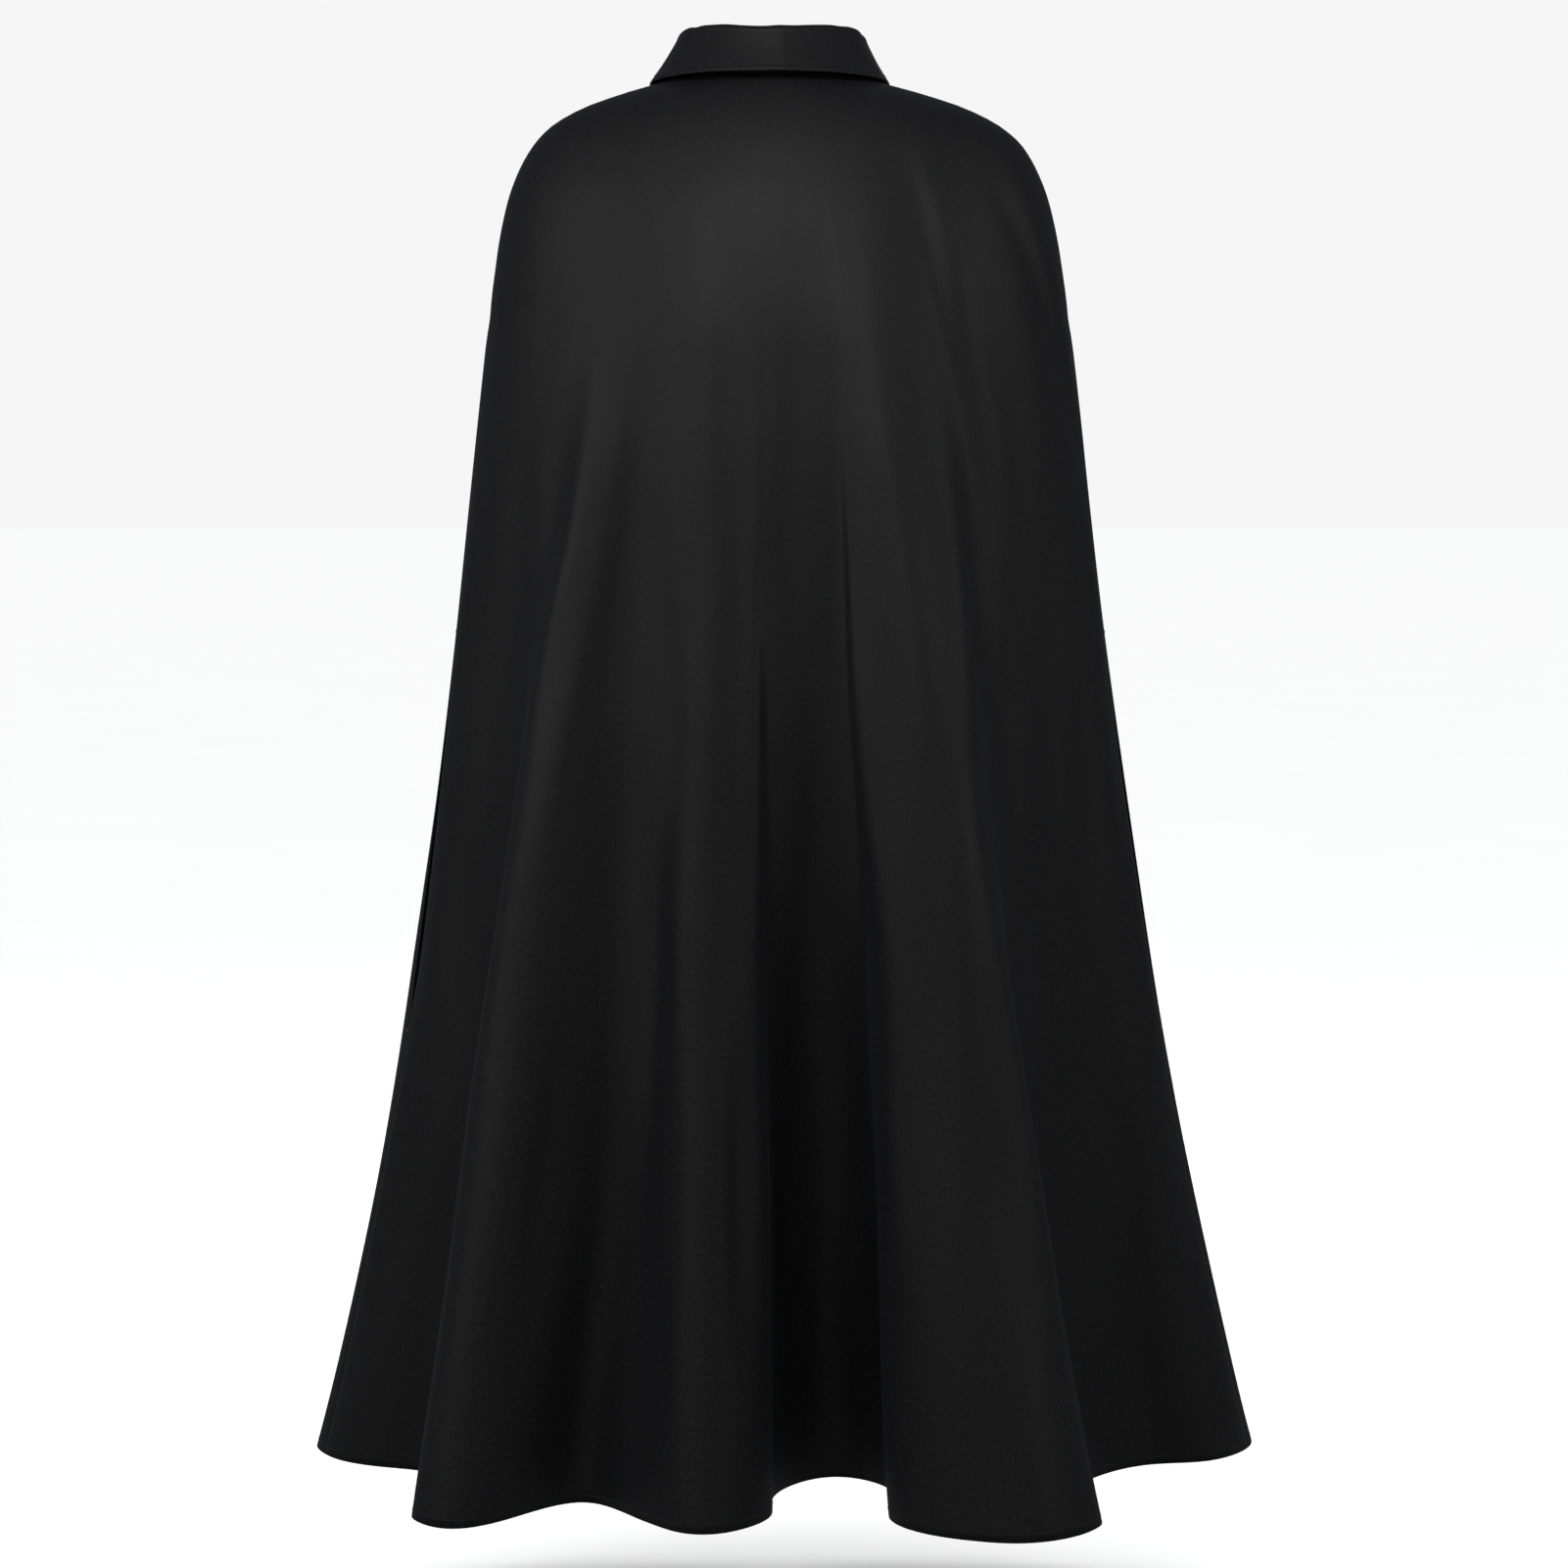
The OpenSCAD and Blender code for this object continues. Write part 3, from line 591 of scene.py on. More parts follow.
# Arm slits: the side seams are left open for the hands. Both ends of each slit are held by a bar
# tack, a dense row of short stitches across the seam.

tack_rows, tack_pitch, tack_half = 9, 0.00032, 0.005
tack_lines, tack_normals = [], []
for seam in (left_seam, right_seam):
    for end in (slit_top - 0.003, slit_top + slit_length + 0.003):
        for row in range(tack_rows):
            drop = np.array([end + (row - tack_rows / 2) * tack_pitch])
            half = tack_half / line_pitch(seam, drop)[0]
            u = seam + np.linspace(-half, half, 8)[:, None]
            normal = outward(u, drop)[:, 0]
            tack_lines.append(draped(u, drop)[:, 0] + normal * (cloth_thickness / 2 + 0.0002))
            tack_normals.append(normal)
slit_tacks = thread_object("arm_slit_tacks", tack_lines, tack_normals, length=0.0095, gap=0.0004)
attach(slit_tacks, "cape")
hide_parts("arm_slit_bar_tacks")


# Collar stand: a band round the neck that lifts the fall, of two satin layers with interlining
# between them. Its left end laps over the right end at the throat.

stand_back, stand_front, stand_lean, side_lean = 0.038, 0.028, 0.007, 0.004
lean_skew = 0.5
layer = 0.001
satin_ply, fibre_ply = 0.0007, 0.0005
collar_t = 3 * layer
pass_gap = 0.0006
stand_foot = 0.0006
overlap_turn = math.degrees(math.asin(0.013 / neck_half))


def neck_line(turn):
    """Point on the neck seam and the level way out of it, for turns in radians."""
    deep = np.where(np.sin(turn) > 0, neck_back, neck_front)
    point = np.stack([neck_half * np.cos(turn), deep * np.sin(turn), seam_height(turn)], axis=-1)
    out = np.stack([np.cos(turn) / neck_half, np.sin(turn) / deep, 0 * turn], axis=-1)
    return point, out / np.linalg.norm(out, axis=-1, keepdims=True)


def on_collar(turn, out, up):
    """Turns x places: out and up are measured from the neck seam."""
    point, away = neck_line(turn)
    points = point[:, None] + out[..., None] * away[:, None]
    points[..., 2] += up
    return points


def backness(turn):
    return (1 + np.sin(turn)) / 2


def stand_top(turn):
    return stand_front + (stand_back - stand_front) * backness(turn)


# The left end starts to step out at one turn and is all the way out where the right end begins.
step_from = -62


def step_out(turn):
    ramp = (math.radians(step_from) - turn) / math.radians(90 + step_from - overlap_turn)
    return (collar_t + pass_gap) * np.clip(ramp, 0, 1)


# The buttonhole goes through the lapped end of the stand only.
button_z = -neck_dip + (0.0012 + stand_front) / 2
hole_half, hole_high = 0.0080, 0.0016
hole_middle = neck_front + 0.0041
hole_depth = 0.0036


def lean(turn):
    """How far the stand leans in towards the neck at its top, a little more on the wearer's left."""
    aside = np.cos(turn)
    return stand_lean * backness(turn) + side_lean * (1 + lean_skew * aside) * aside ** 2


def cut_away(piece, cutter):
    """Take the cutter's shape out of a piece, and then the cutter itself away."""
    bpy.ops.object.select_all(action="DESELECT")
    piece.select_set(True)
    bpy.context.view_layer.objects.active = piece
    cut = piece.modifiers.new("cut", "BOOLEAN")
    cut.operation = "DIFFERENCE"
    cut.object = cutter
    bpy.ops.object.modifier_apply(modifier="cut")
    bpy.data.objects.remove(cutter)


def stand_cloth(name, off, thickness, material, columns=200, rows=16):
    """One layer of the stand, with the buttonhole cut through its lapped end."""
    turn = np.radians(np.linspace(-90 - overlap_turn, 270 + overlap_turn, columns))
    f = np.linspace(1, 0, rows)
    height = stand_foot + (stand_top(turn)[:, None] - stand_foot) * f[None]
    crown = 0.0007 * np.sin(math.pi * f)[None]
    out = step_out(turn)[:, None] - lean(turn)[:, None] * f[None] + off + crown
    points = on_collar(turn, out, height)
    uv = np.stack([girth(points), np.broadcast_to(f * stand_back, out.shape)], axis=-1)
    piece = cloth_object(name, points, uv, material, thickness)
    bpy.ops.object.select_all(action="DESELECT")
    bpy.ops.mesh.primitive_cube_add(size=1, location=(0, -hole_middle, button_z),
                                    scale=(2 * hole_half, hole_depth, 2 * hole_high))
    cut_away(piece, bpy.context.object)
    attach(piece, "cape")
    return piece


def interlining(name, colour):
    """Pressed fibres stiffened with glue: matt, with flecks."""
    material, tree, shader = new_material(name)
    shader.inputs["Specular IOR Level"].default_value = 0.2
    fibres = add_noise(tree, tree.nodes.new("ShaderNodeTexCoord").outputs["Object"], 700, 4)
    shades = add_shades(tree, fibres, [0.6 * c for c in colour], [1.5 * c for c in colour])
    tree.links.new(shades, shader.inputs["Base Color"])
    tree.links.new(add_range(tree, fibres, 0.75, 0.95), shader.inputs["Roughness"])
    tree.links.new(add_relief(tree, fibres, 0.4, 0.0001), shader.inputs["Normal"])
    return material


pressed_fibre = interlining("pressed_fibre", (0.028, 0.028, 0.030))
for name, off, thickness, material, slot in (
        ("stand_inner", -layer, satin_ply, black_satin, "satin"),
        ("stand_interlining", 0.0, fibre_ply, pressed_fibre, "interlining"),
        ("stand_outer", layer, satin_ply, black_satin, "satin")):
    piece = stand_cloth(name + "_cloth", off, thickness, material)
    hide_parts(name)


# Collar fall: rises out of the stand, rolls over and lies down over the neck seam. Upper collar and
# under collar meet in the seam along its edge, with interlining between, and spread at the throat.

roll_r = 0.004
fall_back, fall_front, fall_out, side_out = -0.002, 0.034, 0.016, 0.014
edge_rise, edge_dip = 0.0030, 0.009
collar_open, collar_spread = 6, 13
point_reach, point_curve = 2.2, 0.8
roll_rise, roll_dip, fall_hollow = 0.0010, 0.0014, 0.0010
ROLL_STEPS, FALL_STEPS = 14, 30


def fall_drop(turn):
    share = np.minimum(1, backness(turn) * point_reach) ** point_curve
    return fall_front + (fall_back - fall_front) * share


def cloth_out(turn, drop):
    """How far out from the neck seam the smooth cape is at a drop."""
    point, away = neck_line(turn)
    return np.sum((smooth_cape(turn, drop) - point) * away, axis=-1)


def cloth_drop(turn, out):
    """Drop at which the smooth cape is that far out from the neck seam, by halving."""
    low, high = np.zeros(turn.shape), np.full(turn.shape, 2 * shoulder_drop)
    for _ in range(14):
        middle = (low + high) / 2
        short = cloth_out(turn, middle) < out
        low, high = np.where(short, middle, low), np.where(short, high, middle)
    return (low + high) / 2


def edge_place(turn):
    """Where the collar edge lies: out from the neck seam, and up from it."""
    out = np.maximum(fall_out, cloth_out(turn, fall_drop(turn)) + edge_rise)
    out = out + side_out * np.cos(turn) ** 2 * backness(turn)
    lowest = edge_rise - cloth_drop(turn, out - edge_rise)
    up = np.maximum(-fall_drop(turn) - edge_dip * np.cos(turn) ** 2, lowest)
    return out, up


# The roll line dips a little at the middle of the back and the fall has a few soft bends.
FALL_BENDS = [(96, 7, 0.0012), (36, 5, -0.0016), (140, 6, -0.0010), (166, 5, -0.0014), (62, 8, 0.0008)]


def fall_path(turn):
    """Middle of the fall from the stand over the roll to its edge: places x 2 for each turn."""
    n0, z0 = -lean(turn), stand_top(turn) + 0.0003
    z1 = z0 + roll_rise - roll_dip * np.exp(-((np.degrees(turn) - 90) / 22) ** 2)
    out, up = edge_place(turn)
    places = [np.stack([n0, z0], axis=-1)]
    for a in np.linspace(math.pi, 0, ROLL_STEPS):
        places.append(np.stack([n0 + roll_r + roll_r * math.cos(a), z1 + roll_r * math.sin(a)], axis=-1))
    for f in np.linspace(0, 1, FALL_STEPS + 1)[1:]:
        n = (n0 + 2 * roll_r) * (1 - f) + out * f - fall_hollow * math.sin(math.pi * f)
        places.append(np.stack([n, z1 * (1 - f) + up * f], axis=-1))
    return np.stack(places, axis=1)


def fall_side(path):
    """The way out of the fall's upper face along each path."""
    way = np.gradient(path, axis=1)
    way /= np.linalg.norm(way, axis=-1, keepdims=True)
    return np.stack([-way[..., 1], way[..., 0]], axis=-1)


path_count = ROLL_STEPS + FALL_STEPS + 1
FALL_COLUMNS = 230


def end_turn(share):
    return collar_open + collar_spread * share ** 1.5


def fall_grid():
    """Middle points of the fall and its outward normals, turns x places."""
    share = np.linspace(0, 1, path_count)
    across = np.linspace(0, 1, FALL_COLUMNS)
    turn = np.radians((-90 + end_turn(share))[None] * (1 - across)[:, None]
                      + (270 - end_turn(share))[None] * across[:, None])
    points = np.zeros(turn.shape + (3,))
    normals = np.zeros_like(points)
    for k in range(path_count):
        path = fall_path(turn[:, k])
        side = fall_side(path)[:, k]
        bend = sum(h * np.exp(-((np.degrees(turn[:, k]) - a) / w) ** 2) for a, w, h in FALL_BENDS)
        bend = bend * math.sin(math.pi * min(1, 1.1 * share[k]) / 1.1) ** 0.6
        point, away = neck_line(turn[:, k])
        normals[:, k] = side[:, :1] * away + side[:, 1:] * np.array([0, 0, 1.0])
        points[:, k] = (point + path[:, k, :1] * away + path[:, k, 1:] * np.array([0, 0, 1.0])
                        + bend[:, None] * normals[:, k])
    return points, normals


collar_middle, collar_normal = fall_grid()
edge_stitch_in = 0.0055


def fall_layer(off, wrap):
    """One layer with its three free edges rolled down to the middle of the fall."""
    grid, normal = collar_middle, collar_normal
    if wrap:
        ring = np.array([35, 65, 90]) * math.pi / 180
        for axis, ends in ((1, (False, True)), (0, (True, True))):
            first = np.take(grid, [0], axis=axis) - np.take(grid, [1], axis=axis)
            last = np.take(grid, [-1], axis=axis) - np.take(grid, [-2], axis=axis)
            for at_end, way in ((0, first), (-1, last)):
                if not ends[at_end]:
                    continue
                way = way / np.linalg.norm(way, axis=-1, keepdims=True)
                edge, up = np.take(grid, [at_end], axis=axis), np.take(normal, [at_end], axis=axis)
                rows = [edge + wrap * math.sin(a) * way for a in ring]
                sinks = [up * math.cos(a) for a in ring]
                if at_end == 0:
                    rows, sinks = rows[::-1], sinks[::-1]
                    grid = np.concatenate(rows + [grid], axis=axis)
                    normal = np.concatenate(sinks + [normal], axis=axis)
                else:
                    grid = np.concatenate([grid] + rows, axis=axis)
                    normal = np.concatenate([normal] + sinks, axis=axis)
    return grid + off * normal


def collar_cloth(name, off, thickness, wrap, material):
    points = fall_layer(off, wrap)
    steps = np.linalg.norm(np.diff(points[len(points) // 2], axis=0), axis=1)
    lengths = np.concatenate([[0], np.cumsum(steps)])
    uv = np.stack([girth(points), np.broadcast_to(lengths, points.shape[:2])], axis=-1)
    piece = cloth_object(name, points, uv, material, thickness)
    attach(piece, "cape")
    return piece


upper_collar = collar_cloth("upper_collar_cloth", layer, satin_ply, layer, black_satin)
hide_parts("upper_collar")
collar_inside = collar_cloth("collar_interlining_cloth", 0, fibre_ply, 0, pressed_fibre)
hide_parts("collar_interlining")
under_collar = collar_cloth("under_collar_cloth", -layer, satin_ply, -layer, black_satin)
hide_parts("under_collar")


# Topstitching: one row of stitches round the free edges of the fall, which presses the layers
# together just in from the edge.

def collar_row():
    points = collar_middle + (layer + 0.00035) * collar_normal
    lengths = np.linalg.norm(np.diff(points[FALL_COLUMNS // 2], axis=0), axis=1)
    k = path_count - 1 - edge_stitch_in / lengths[-1]
    low = int(k)
    rows = points[:, low] * (low + 1 - k) + points[:, low + 1] * (k - low)
    ways = collar_normal[:, low]
    inset = 3
    sides = [(points[column, ROLL_STEPS:low + 1], collar_normal[column, ROLL_STEPS:low + 1])
             for column in (inset, FALL_COLUMNS - 1 - inset)]
    return [(rows[inset:FALL_COLUMNS - inset], ways[inset:FALL_COLUMNS - inset])] + sides


collar_runs = collar_row()
collar_stitches = thread_object("collar_stitches", [r[0] for r in collar_runs], [r[1] for r in collar_runs])
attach(collar_stitches, "cape")
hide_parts("collar_topstitching")


# Neck binding: a bias strip of the satin that covers the raw edges of the neck seam on the inside.
# Both its edges are folded under, and it is pressed flat against the stand.

binding_w, binding_t = 0.009, 0.0008
binding_top = 0.0009
binding_in = -collar_t / 2 - 0.0002 - binding_t
binding_turn = np.radians(np.linspace(-84, 264, 220))
across_tape = np.array([0, 0.0, 0.04, 0.12, 0.3, 0.5, 0.7, 0.88, 0.96, 1.0, 1.0])
tape_out = np.array([0.9, 0.5, 0.15, 0.0, -0.02, -0.04, -0.02, 0.0, 0.15, 0.5, 0.9]) * binding_t
tape = on_collar(binding_turn, binding_in + 0.0002 + tape_out[None] + 0 * binding_turn[:, None],
                 binding_top - binding_w * across_tape[None])
tape_uv = np.stack([girth(tape), np.broadcast_to(across_tape * binding_w, tape.shape[:2])], axis=-1)
binding = cloth_object("neck_binding_tape", tape[::-1], tape_uv, black_satin, 0.0003)
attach(binding, "cape")
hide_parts("neck_binding")


# Neck button: a black four-hole shirt button, 15 mm across, turned with a raised rim and a dished
# middle, with a soft semi-gloss surface.

def button_resin(name):
    """Cast resin with faint marbling and turning marks, under a thin polish."""
    material, tree, shader = new_material(name)
    shader.inputs["Coat Weight"].default_value = 0.25
    shader.inputs["Coat Roughness"].default_value = 0.18
    place = tree.nodes.new("ShaderNodeTexCoord").outputs["Object"]
    marbling = add_noise(tree, place, 190, 6, 1.4)
    shades = add_shades(tree, marbling, (0.007, 0.007, 0.008), (0.024, 0.023, 0.024), 0.35, 0.75)
    tree.links.new(shades, shader.inputs["Base Color"])
    turning = add_noise(tree, place, 2600)
    tree.links.new(add_range(tree, turning, 0.24, 0.38), shader.inputs["Roughness"])
    tree.links.new(add_relief(tree, turning, 0.15, 0.00005), shader.inputs["Normal"])
    return material


button_r, button_t, button_rim, button_dish = 0.0075, 0.0030, 0.0018, 0.0008
hole_ring, hole_r = 0.0024, 0.0008
stand_face = neck_front + collar_t / 2
shank_free = 0.0012
button_seat = stand_face + pass_gap + collar_t + shank_free


def pick_front(piece, centre_y):
    """In edit mode, select only the faces that look forwards from that depth."""
    bpy.ops.object.mode_set(mode="OBJECT")
    for face in piece.data.polygons:
        at = piece.matrix_world @ face.center
        way = piece.matrix_world.to_3x3() @ face.normal
        face.select = way.y < -0.9 and abs(at.y - centre_y) < 0.0001
    bpy.ops.object.mode_set(mode="EDIT")


bpy.ops.object.select_all(action="DESELECT")
bpy.ops.mesh.primitive_cylinder_add(vertices=64, radius=button_r, depth=button_t,
                                    location=(0, -button_seat - button_t / 2, button_z),
                                    rotation=(math.pi / 2, 0, 0))
button = bpy.context.object
button.name = "neck_button_resin"
bpy.ops.object.mode_set(mode="EDIT")
bpy.ops.mesh.select_mode(type="FACE")
bpy.ops.mesh.select_all(action="DESELECT")
pick_front(button, -button_seat - button_t)
bpy.ops.mesh.inset(thickness=button_rim, depth=0)
bpy.ops.mesh.inset(thickness=button_dish, depth=-button_dish)
bpy.ops.mesh.inset(thickness=0.0012, depth=-0.00012)
bpy.ops.object.mode_set(mode="OBJECT")
for quarter in range(4):
    angle = math.radians(45 + 90 * quarter)
    bpy.ops.object.select_all(action="DESELECT")
    bpy.ops.mesh.primitive_cylinder_add(vertices=24, radius=hole_r, depth=3 * button_t,
                                        location=(hole_ring * math.cos(angle), -button_seat,
                                                  button_z + hole_ring * math.sin(angle)),
                                        rotation=(math.pi / 2, 0, 0))
    cut_away(button, bpy.context.object)
soft = button.modifiers.new("turned_edges", "BEVEL")
soft.width = 0.00030
soft.segments = 3
soft.limit_method = "ANGLE"
soft.angle_limit = math.radians(30)
bpy.ops.object.modifier_apply(modifier="turned_edges")
bpy.ops.object.transform_apply(location=True, rotation=True, scale=True)
bpy.ops.object.shade_smooth_by_angle(angle=math.radians(40))
button.data.materials.clear()
button.data.materials.append(button_resin("black_button_resin"))
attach(button, "button")
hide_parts("neck_button")


# Button thread: several strands up through the holes, crossed on the face, gathered under the button
# and wound round as a shank that the buttonhole closes on.

def strand_object(name, lines, radius, sides=6):
    """Closed tubes of thread along polylines."""
    corners, faces = [], []
    for line in lines:
        line = np.asarray(line)
        way = np.gradient(line, axis=0)
        way /= np.linalg.norm(way, axis=1, keepdims=True)
        side = np.cross(way[0], [0.3, 0.2, 1.0])
        first = len(corners)
        for point, along in zip(line, way):
            side = side - along * (side @ along)
            side /= np.linalg.norm(side)
            other = np.cross(along, side)
            for q in range(sides):
                a = 2 * math.pi * q / sides
                corners.append(point + radius * (math.cos(a) * side + math.sin(a) * other))
        for k in range(len(line) - 1):
            for q in range(sides):
                here, there = first + sides * k + q, first + sides * k + (q + 1) % sides
                faces.append((here, there, there + sides, here + sides))
        faces.append([first + q for q in reversed(range(sides))])
        faces.append([first + sides * (len(line) - 1) + q for q in range(sides)])
    return thread_solid(name, corners, faces)


strand_r = 0.00018
shank_r, shank_from = 0.0009, stand_face + 0.0003 + strand_r
button_strands = []
for diagonal in (45, 135):
    for k, aside in enumerate((-0.00045, -0.00015, 0.00015, 0.00045)):
        a, b = math.radians(diagonal), math.radians(diagonal + 90)
        points = []
        for s, out in ((-1, -0.0004), (-1, 0.0016), (-0.92, 0.00245), (-0.5, 0.0028), (0, 0.00290),
                       (0.5, 0.0028), (0.92, 0.00245), (1, 0.0016), (1, -0.0004)):
            reach = hole_ring * s
            over = out + (0.00032 if diagonal == 135 and 0.0020 < out else 0)
            points.append([reach * math.cos(a) + aside * math.cos(b), -button_seat - over,
                           button_z + reach * math.sin(a) + aside * math.sin(b)])
        button_strands.append(points)
winds = np.linspace(0, 11 * 2 * math.pi, 250)
run = np.linspace(shank_from, button_seat - strand_r, len(winds))
flare = shank_r + 0.0009 * np.clip((run - button_seat + 0.0009) / 0.0009, 0, 1) ** 2
button_strands.append(np.stack([flare * np.cos(winds), -run, button_z + flare * np.sin(winds)], axis=1))
for quarter in range(8):
    a = math.radians(45 * quarter)
    button_strands.append([[0.0005 * math.cos(a), -shank_from, button_z + 0.0005 * math.sin(a)],
                           [0.0005 * math.cos(a), -button_seat + 0.0008, button_z + 0.0005 * math.sin(a)],
                           [0.0020 * math.cos(a), -button_seat + 0.0002, button_z + 0.0020 * math.sin(a)]])
button_thread = strand_object("button_thread_strands", button_strands, strand_r)
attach(button_thread, "button")
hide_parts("button_thread")


# Buttonhole stitches: close stitches over the cut edge of the hole in the left end of the stand,
# with a knotted ridge along the edge itself.

stitch_deep, stitch_pitch = 0.0011, 0.00042
stitch_front = neck_front + pass_gap + collar_t + layer + 0.0007 + 0.00035


def on_stand_face(x, z):
    """A place on the outer face of the lapped end of the stand."""
    back = neck_front * (1 - math.sqrt(1 - (x / neck_half) ** 2))
    return [x, back - stitch_front - 0.00012, button_z + z]


hole_stitches = []
for k in range(int(2 * hole_half / stitch_pitch) + 1):
    x = -hole_half + k * stitch_pitch
    for side in (-1, 1):
        hole_stitches.append([on_stand_face(x, side * (hole_high - 0.0002)),
                              on_stand_face(x, side * (hole_high + stitch_deep))])
for k in range(int(2 * hole_high / stitch_pitch) + 1):
    z = -hole_high + k * stitch_pitch
    for side in (-1, 1):
        hole_stitches.append([on_stand_face(side * (hole_half - 0.0002), z),
                              on_stand_face(side * (hole_half + stitch_deep), z)])
for side in (-1, 1):
    hole_stitches.append([on_stand_face(x, side * hole_high)
                          for x in np.linspace(-hole_half, hole_half, 30)])
forwards = [np.array([[0, -1.0, 0]] * len(line)) for line in hole_stitches]
hole_thread = thread_object("buttonhole_stitches", [np.array(line) for line in hole_stitches], forwards,
                            length=0.00125, gap=0.0, radius=0.00019)
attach(hole_thread, "cape")
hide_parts("buttonhole_stitching")


# Hanging loop: a narrow rolled tube of the satin, sewn inside the back neck to hang the cape by.
# Its two ends are flattened and held by bar tacks.

loop_r, loop_half = 0.018, 0.0019
loop_thick, tack_margin, loop_z = 0.004, 0.001, -0.002
tack_thick, loop_gap = 0.0008, 0.0003
far_turn = np.array([math.acos((loop_r + loop_thick / 2 + tack_margin) / neck_half)])
loop_out = np.array([[binding_in - tack_thick - 3 * loop_gap]])
loop_y = on_collar(far_turn, loop_out, np.zeros((1, 1)))[0, 0, 1] - loop_thick / 2
loop_steps, loop_sides = 72, 20
round_loop = np.radians(np.linspace(180, 360, loop_steps))[:, None]
round_roll = np.radians(np.linspace(0, 360, loop_sides + 1))[None]
seam_dent = 0.35 * np.exp(-((np.degrees(round_roll) - 250) / 14) ** 2)
puckers = 0.04 * np.sin(9 * round_loop + 2 * round_roll) + 0.03 * np.sin(23 * round_loop)
roll = loop_half * (1 - seam_dent + puckers)
near_end = np.minimum(round_loop - math.pi, 2 * math.pi - round_loop)
flat = 1 - 0.55 * np.exp(-(near_end / 0.16) ** 2)
reach = loop_r + roll * np.cos(round_roll)
loop_points = np.stack([reach * np.cos(round_loop), loop_y + roll * flat * np.sin(round_roll),
                        loop_z + reach * np.sin(round_loop)], axis=-1)
caps = [loop_points[k].mean(axis=0, keepdims=True).repeat(loop_sides + 1, axis=0) for k in (0, -1)]
loop_points = np.concatenate([caps[0][None], loop_points, caps[1][None]])
along = np.concatenate([[0], np.arange(loop_steps), [loop_steps - 1]]) * math.pi * loop_r / loop_steps
loop_uv = np.stack([np.broadcast_to(round_roll * loop_half, loop_points.shape[:2]),
                    np.broadcast_to(along[:, None], loop_points.shape[:2])], axis=-1)
hanging_loop = cloth_object("hanging_loop_roll", loop_points, loop_uv, black_satin, None)
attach(hanging_loop, "loop")
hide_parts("hanging_loop")

tack_turn = math.acos(loop_r / neck_half)
loop_tack_lines, loop_tack_normals = [], []
for turn in (tack_turn, math.pi - tack_turn):
    for row in range(8):
        turns = np.array([turn]) + np.linspace(-0.0030, 0.0030, 6) / neck_back
        inside = np.full((len(turns), 1), binding_in - 0.0007)
        up = np.full((len(turns), 1), loop_z - 0.0011 + row * 0.00031)
        loop_tack_lines.append(on_collar(turns, inside, up)[:, 0])
        loop_tack_normals.append(-neck_line(turns)[1])
loop_tacks = thread_object("loop_tacks", loop_tack_lines, loop_tack_normals, length=0.0058, gap=0.0)
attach(loop_tacks, "cape")
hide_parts("loop_bar_tacks")


# Studio: a pale floor that runs into a pale surround, one large soft box high behind the wearer and
# others round the sides and in front, and the camera behind the cape.

floor_z = -1.50


def pale_paper(name):
    """Matt paper with faint, broad unevenness."""
    material, tree, shader = new_material(name)
    shader.inputs["Specular IOR Level"].default_value = 0.0
    shader.inputs["Roughness"].default_value = 0.9
    fibres = add_noise(tree, tree.nodes.new("ShaderNodeTexCoord").outputs["Object"], 3)
    shades = add_shades(tree, fibres, (0.90, 0.90, 0.90), (0.92, 0.92, 0.92))
    tree.links.new(shades, shader.inputs["Base Color"])
    return material


bpy.ops.object.select_all(action="DESELECT")
bpy.ops.mesh.primitive_circle_add(vertices=128, radius=60, fill_type="NGON", location=(0, 0, floor_z))
floor = bpy.context.object
floor.name = "studio_floor"
bpy.ops.object.transform_apply(location=True, rotation=True, scale=True)
floor.data.materials.append(pale_paper("pale_floor"))
floor.visible_diffuse = False
floor.visible_glossy = False

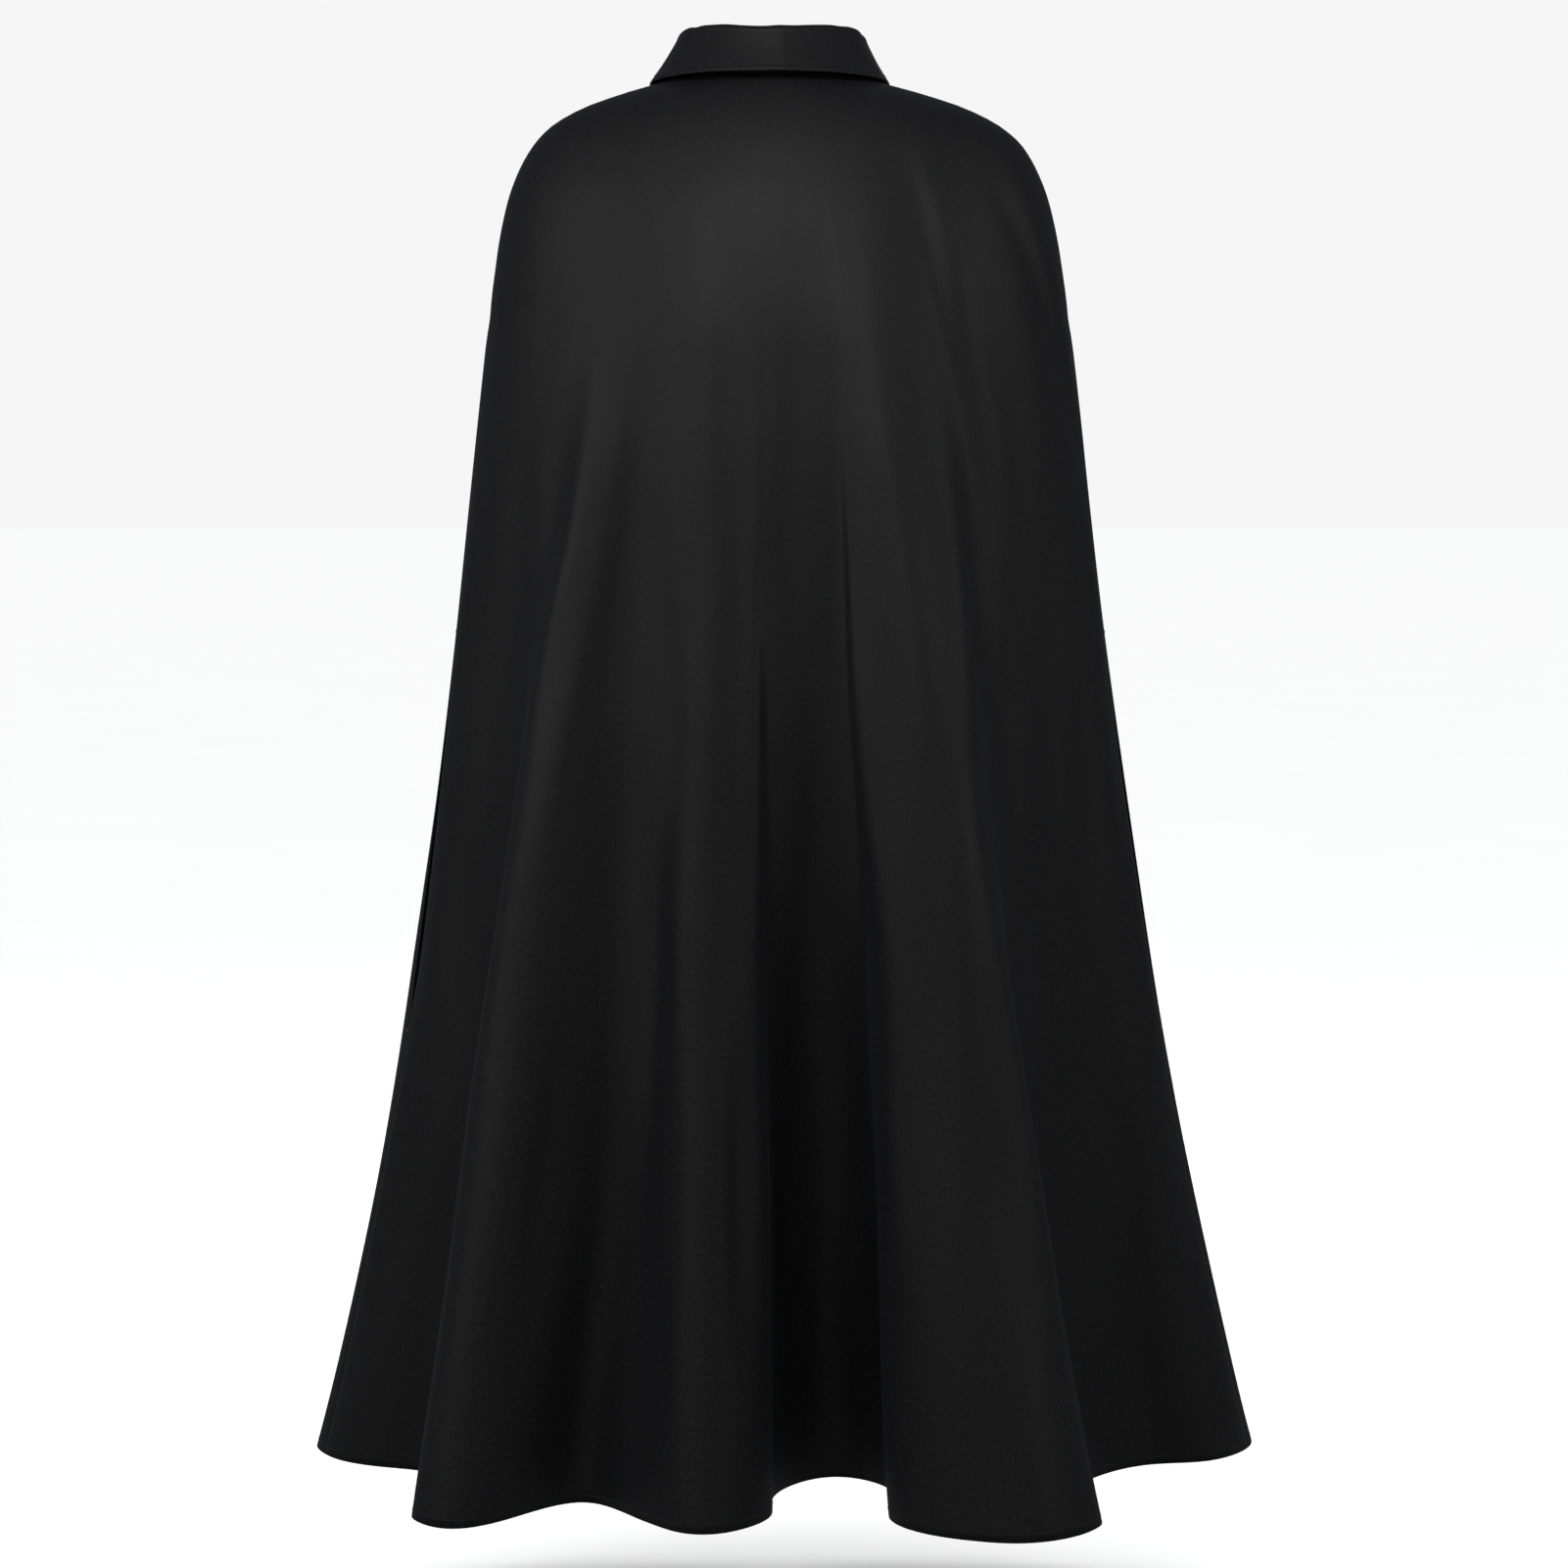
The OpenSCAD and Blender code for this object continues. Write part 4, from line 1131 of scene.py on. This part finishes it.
# The surround shows pale, and lights the cape only a little, as black card round a set would.
world = bpy.data.worlds.new("studio_air")
world.use_nodes = True
bpy.context.scene.world = world
air_nodes, air_links = world.node_tree.nodes, world.node_tree.links
seen_air = air_nodes["Background"]
seen_air.inputs["Color"].default_value = (0.92, 0.92, 0.92, 1)
dim_air = air_nodes.new("ShaderNodeBackground")
dim_air.inputs["Color"].default_value = (0.95, 0.97, 1.0, 1)
dim_air.inputs["Strength"].default_value = 0.10
rays = air_nodes.new("ShaderNodeLightPath")
either = air_nodes.new("ShaderNodeMixShader")
air_links.new(rays.outputs["Is Camera Ray"], either.inputs["Fac"])
air_links.new(dim_air.outputs["Background"], either.inputs[1])
air_links.new(seen_air.outputs["Background"], either.inputs[2])
air_links.new(either.outputs["Shader"], air_nodes["World Output"].inputs["Surface"])


def soft_box(name, azimuth, height, distance, size, power):
    """A soft box that looks at the middle of the cape; azimuth 0 is in front of the wearer."""
    middle = Vector((0, 0, -0.45))
    a = math.radians(azimuth)
    place = Vector((distance * math.sin(a), -distance * math.cos(a), height))
    light = bpy.data.lights.new(name, "AREA")
    light.shape = "RECTANGLE"
    light.size, light.size_y = size
    light.energy = power
    lamp = bpy.data.objects.new(name, light)
    lamp.location = place
    lamp.rotation_euler = (middle - place).to_track_quat("-Z", "Y").to_euler()
    lamp.visible_camera = False
    bpy.context.scene.collection.objects.link(lamp)


soft_box("high_box", 180, 1.0, 2.4, (1.4, 1.0), 21)
soft_box("left_box", 146, 0.6, 3.2, (0.9, 1.6), 10)
soft_box("left_side_box", 118, 0.5, 3.2, (1.2, 2.2), 16)
soft_box("right_side_box", 242, 0.5, 3.2, (1.2, 2.2), 14)
soft_box("front_box", 0, -0.2, 3.4, (1.6, 1.6), 30)

# A broad light straight down that falls on the floor only.
floor_group = bpy.data.collections.new("floor_only")
floor_group.objects.link(floor)
sky = bpy.data.lights.new("floor_light", "SUN")
sky.energy = 3.0
sky.angle = math.radians(50)
sky_lamp = bpy.data.objects.new("floor_light", sky)
bpy.context.scene.collection.objects.link(sky_lamp)
sky_lamp.light_linking.receiver_collection = floor_group

camera_data = bpy.data.cameras.new("camera")
camera_data.lens = 91.88
camera_data.sensor_width = 36
camera = bpy.data.objects.new("camera", camera_data)
camera.location = (-0.0135, 3.8, -0.35)
camera.rotation_euler = (math.radians(90 - 4.70), 0, math.pi)
bpy.context.scene.collection.objects.link(camera)
bpy.context.scene.camera = camera
bpy.context.scene.view_settings.view_transform = "Standard"
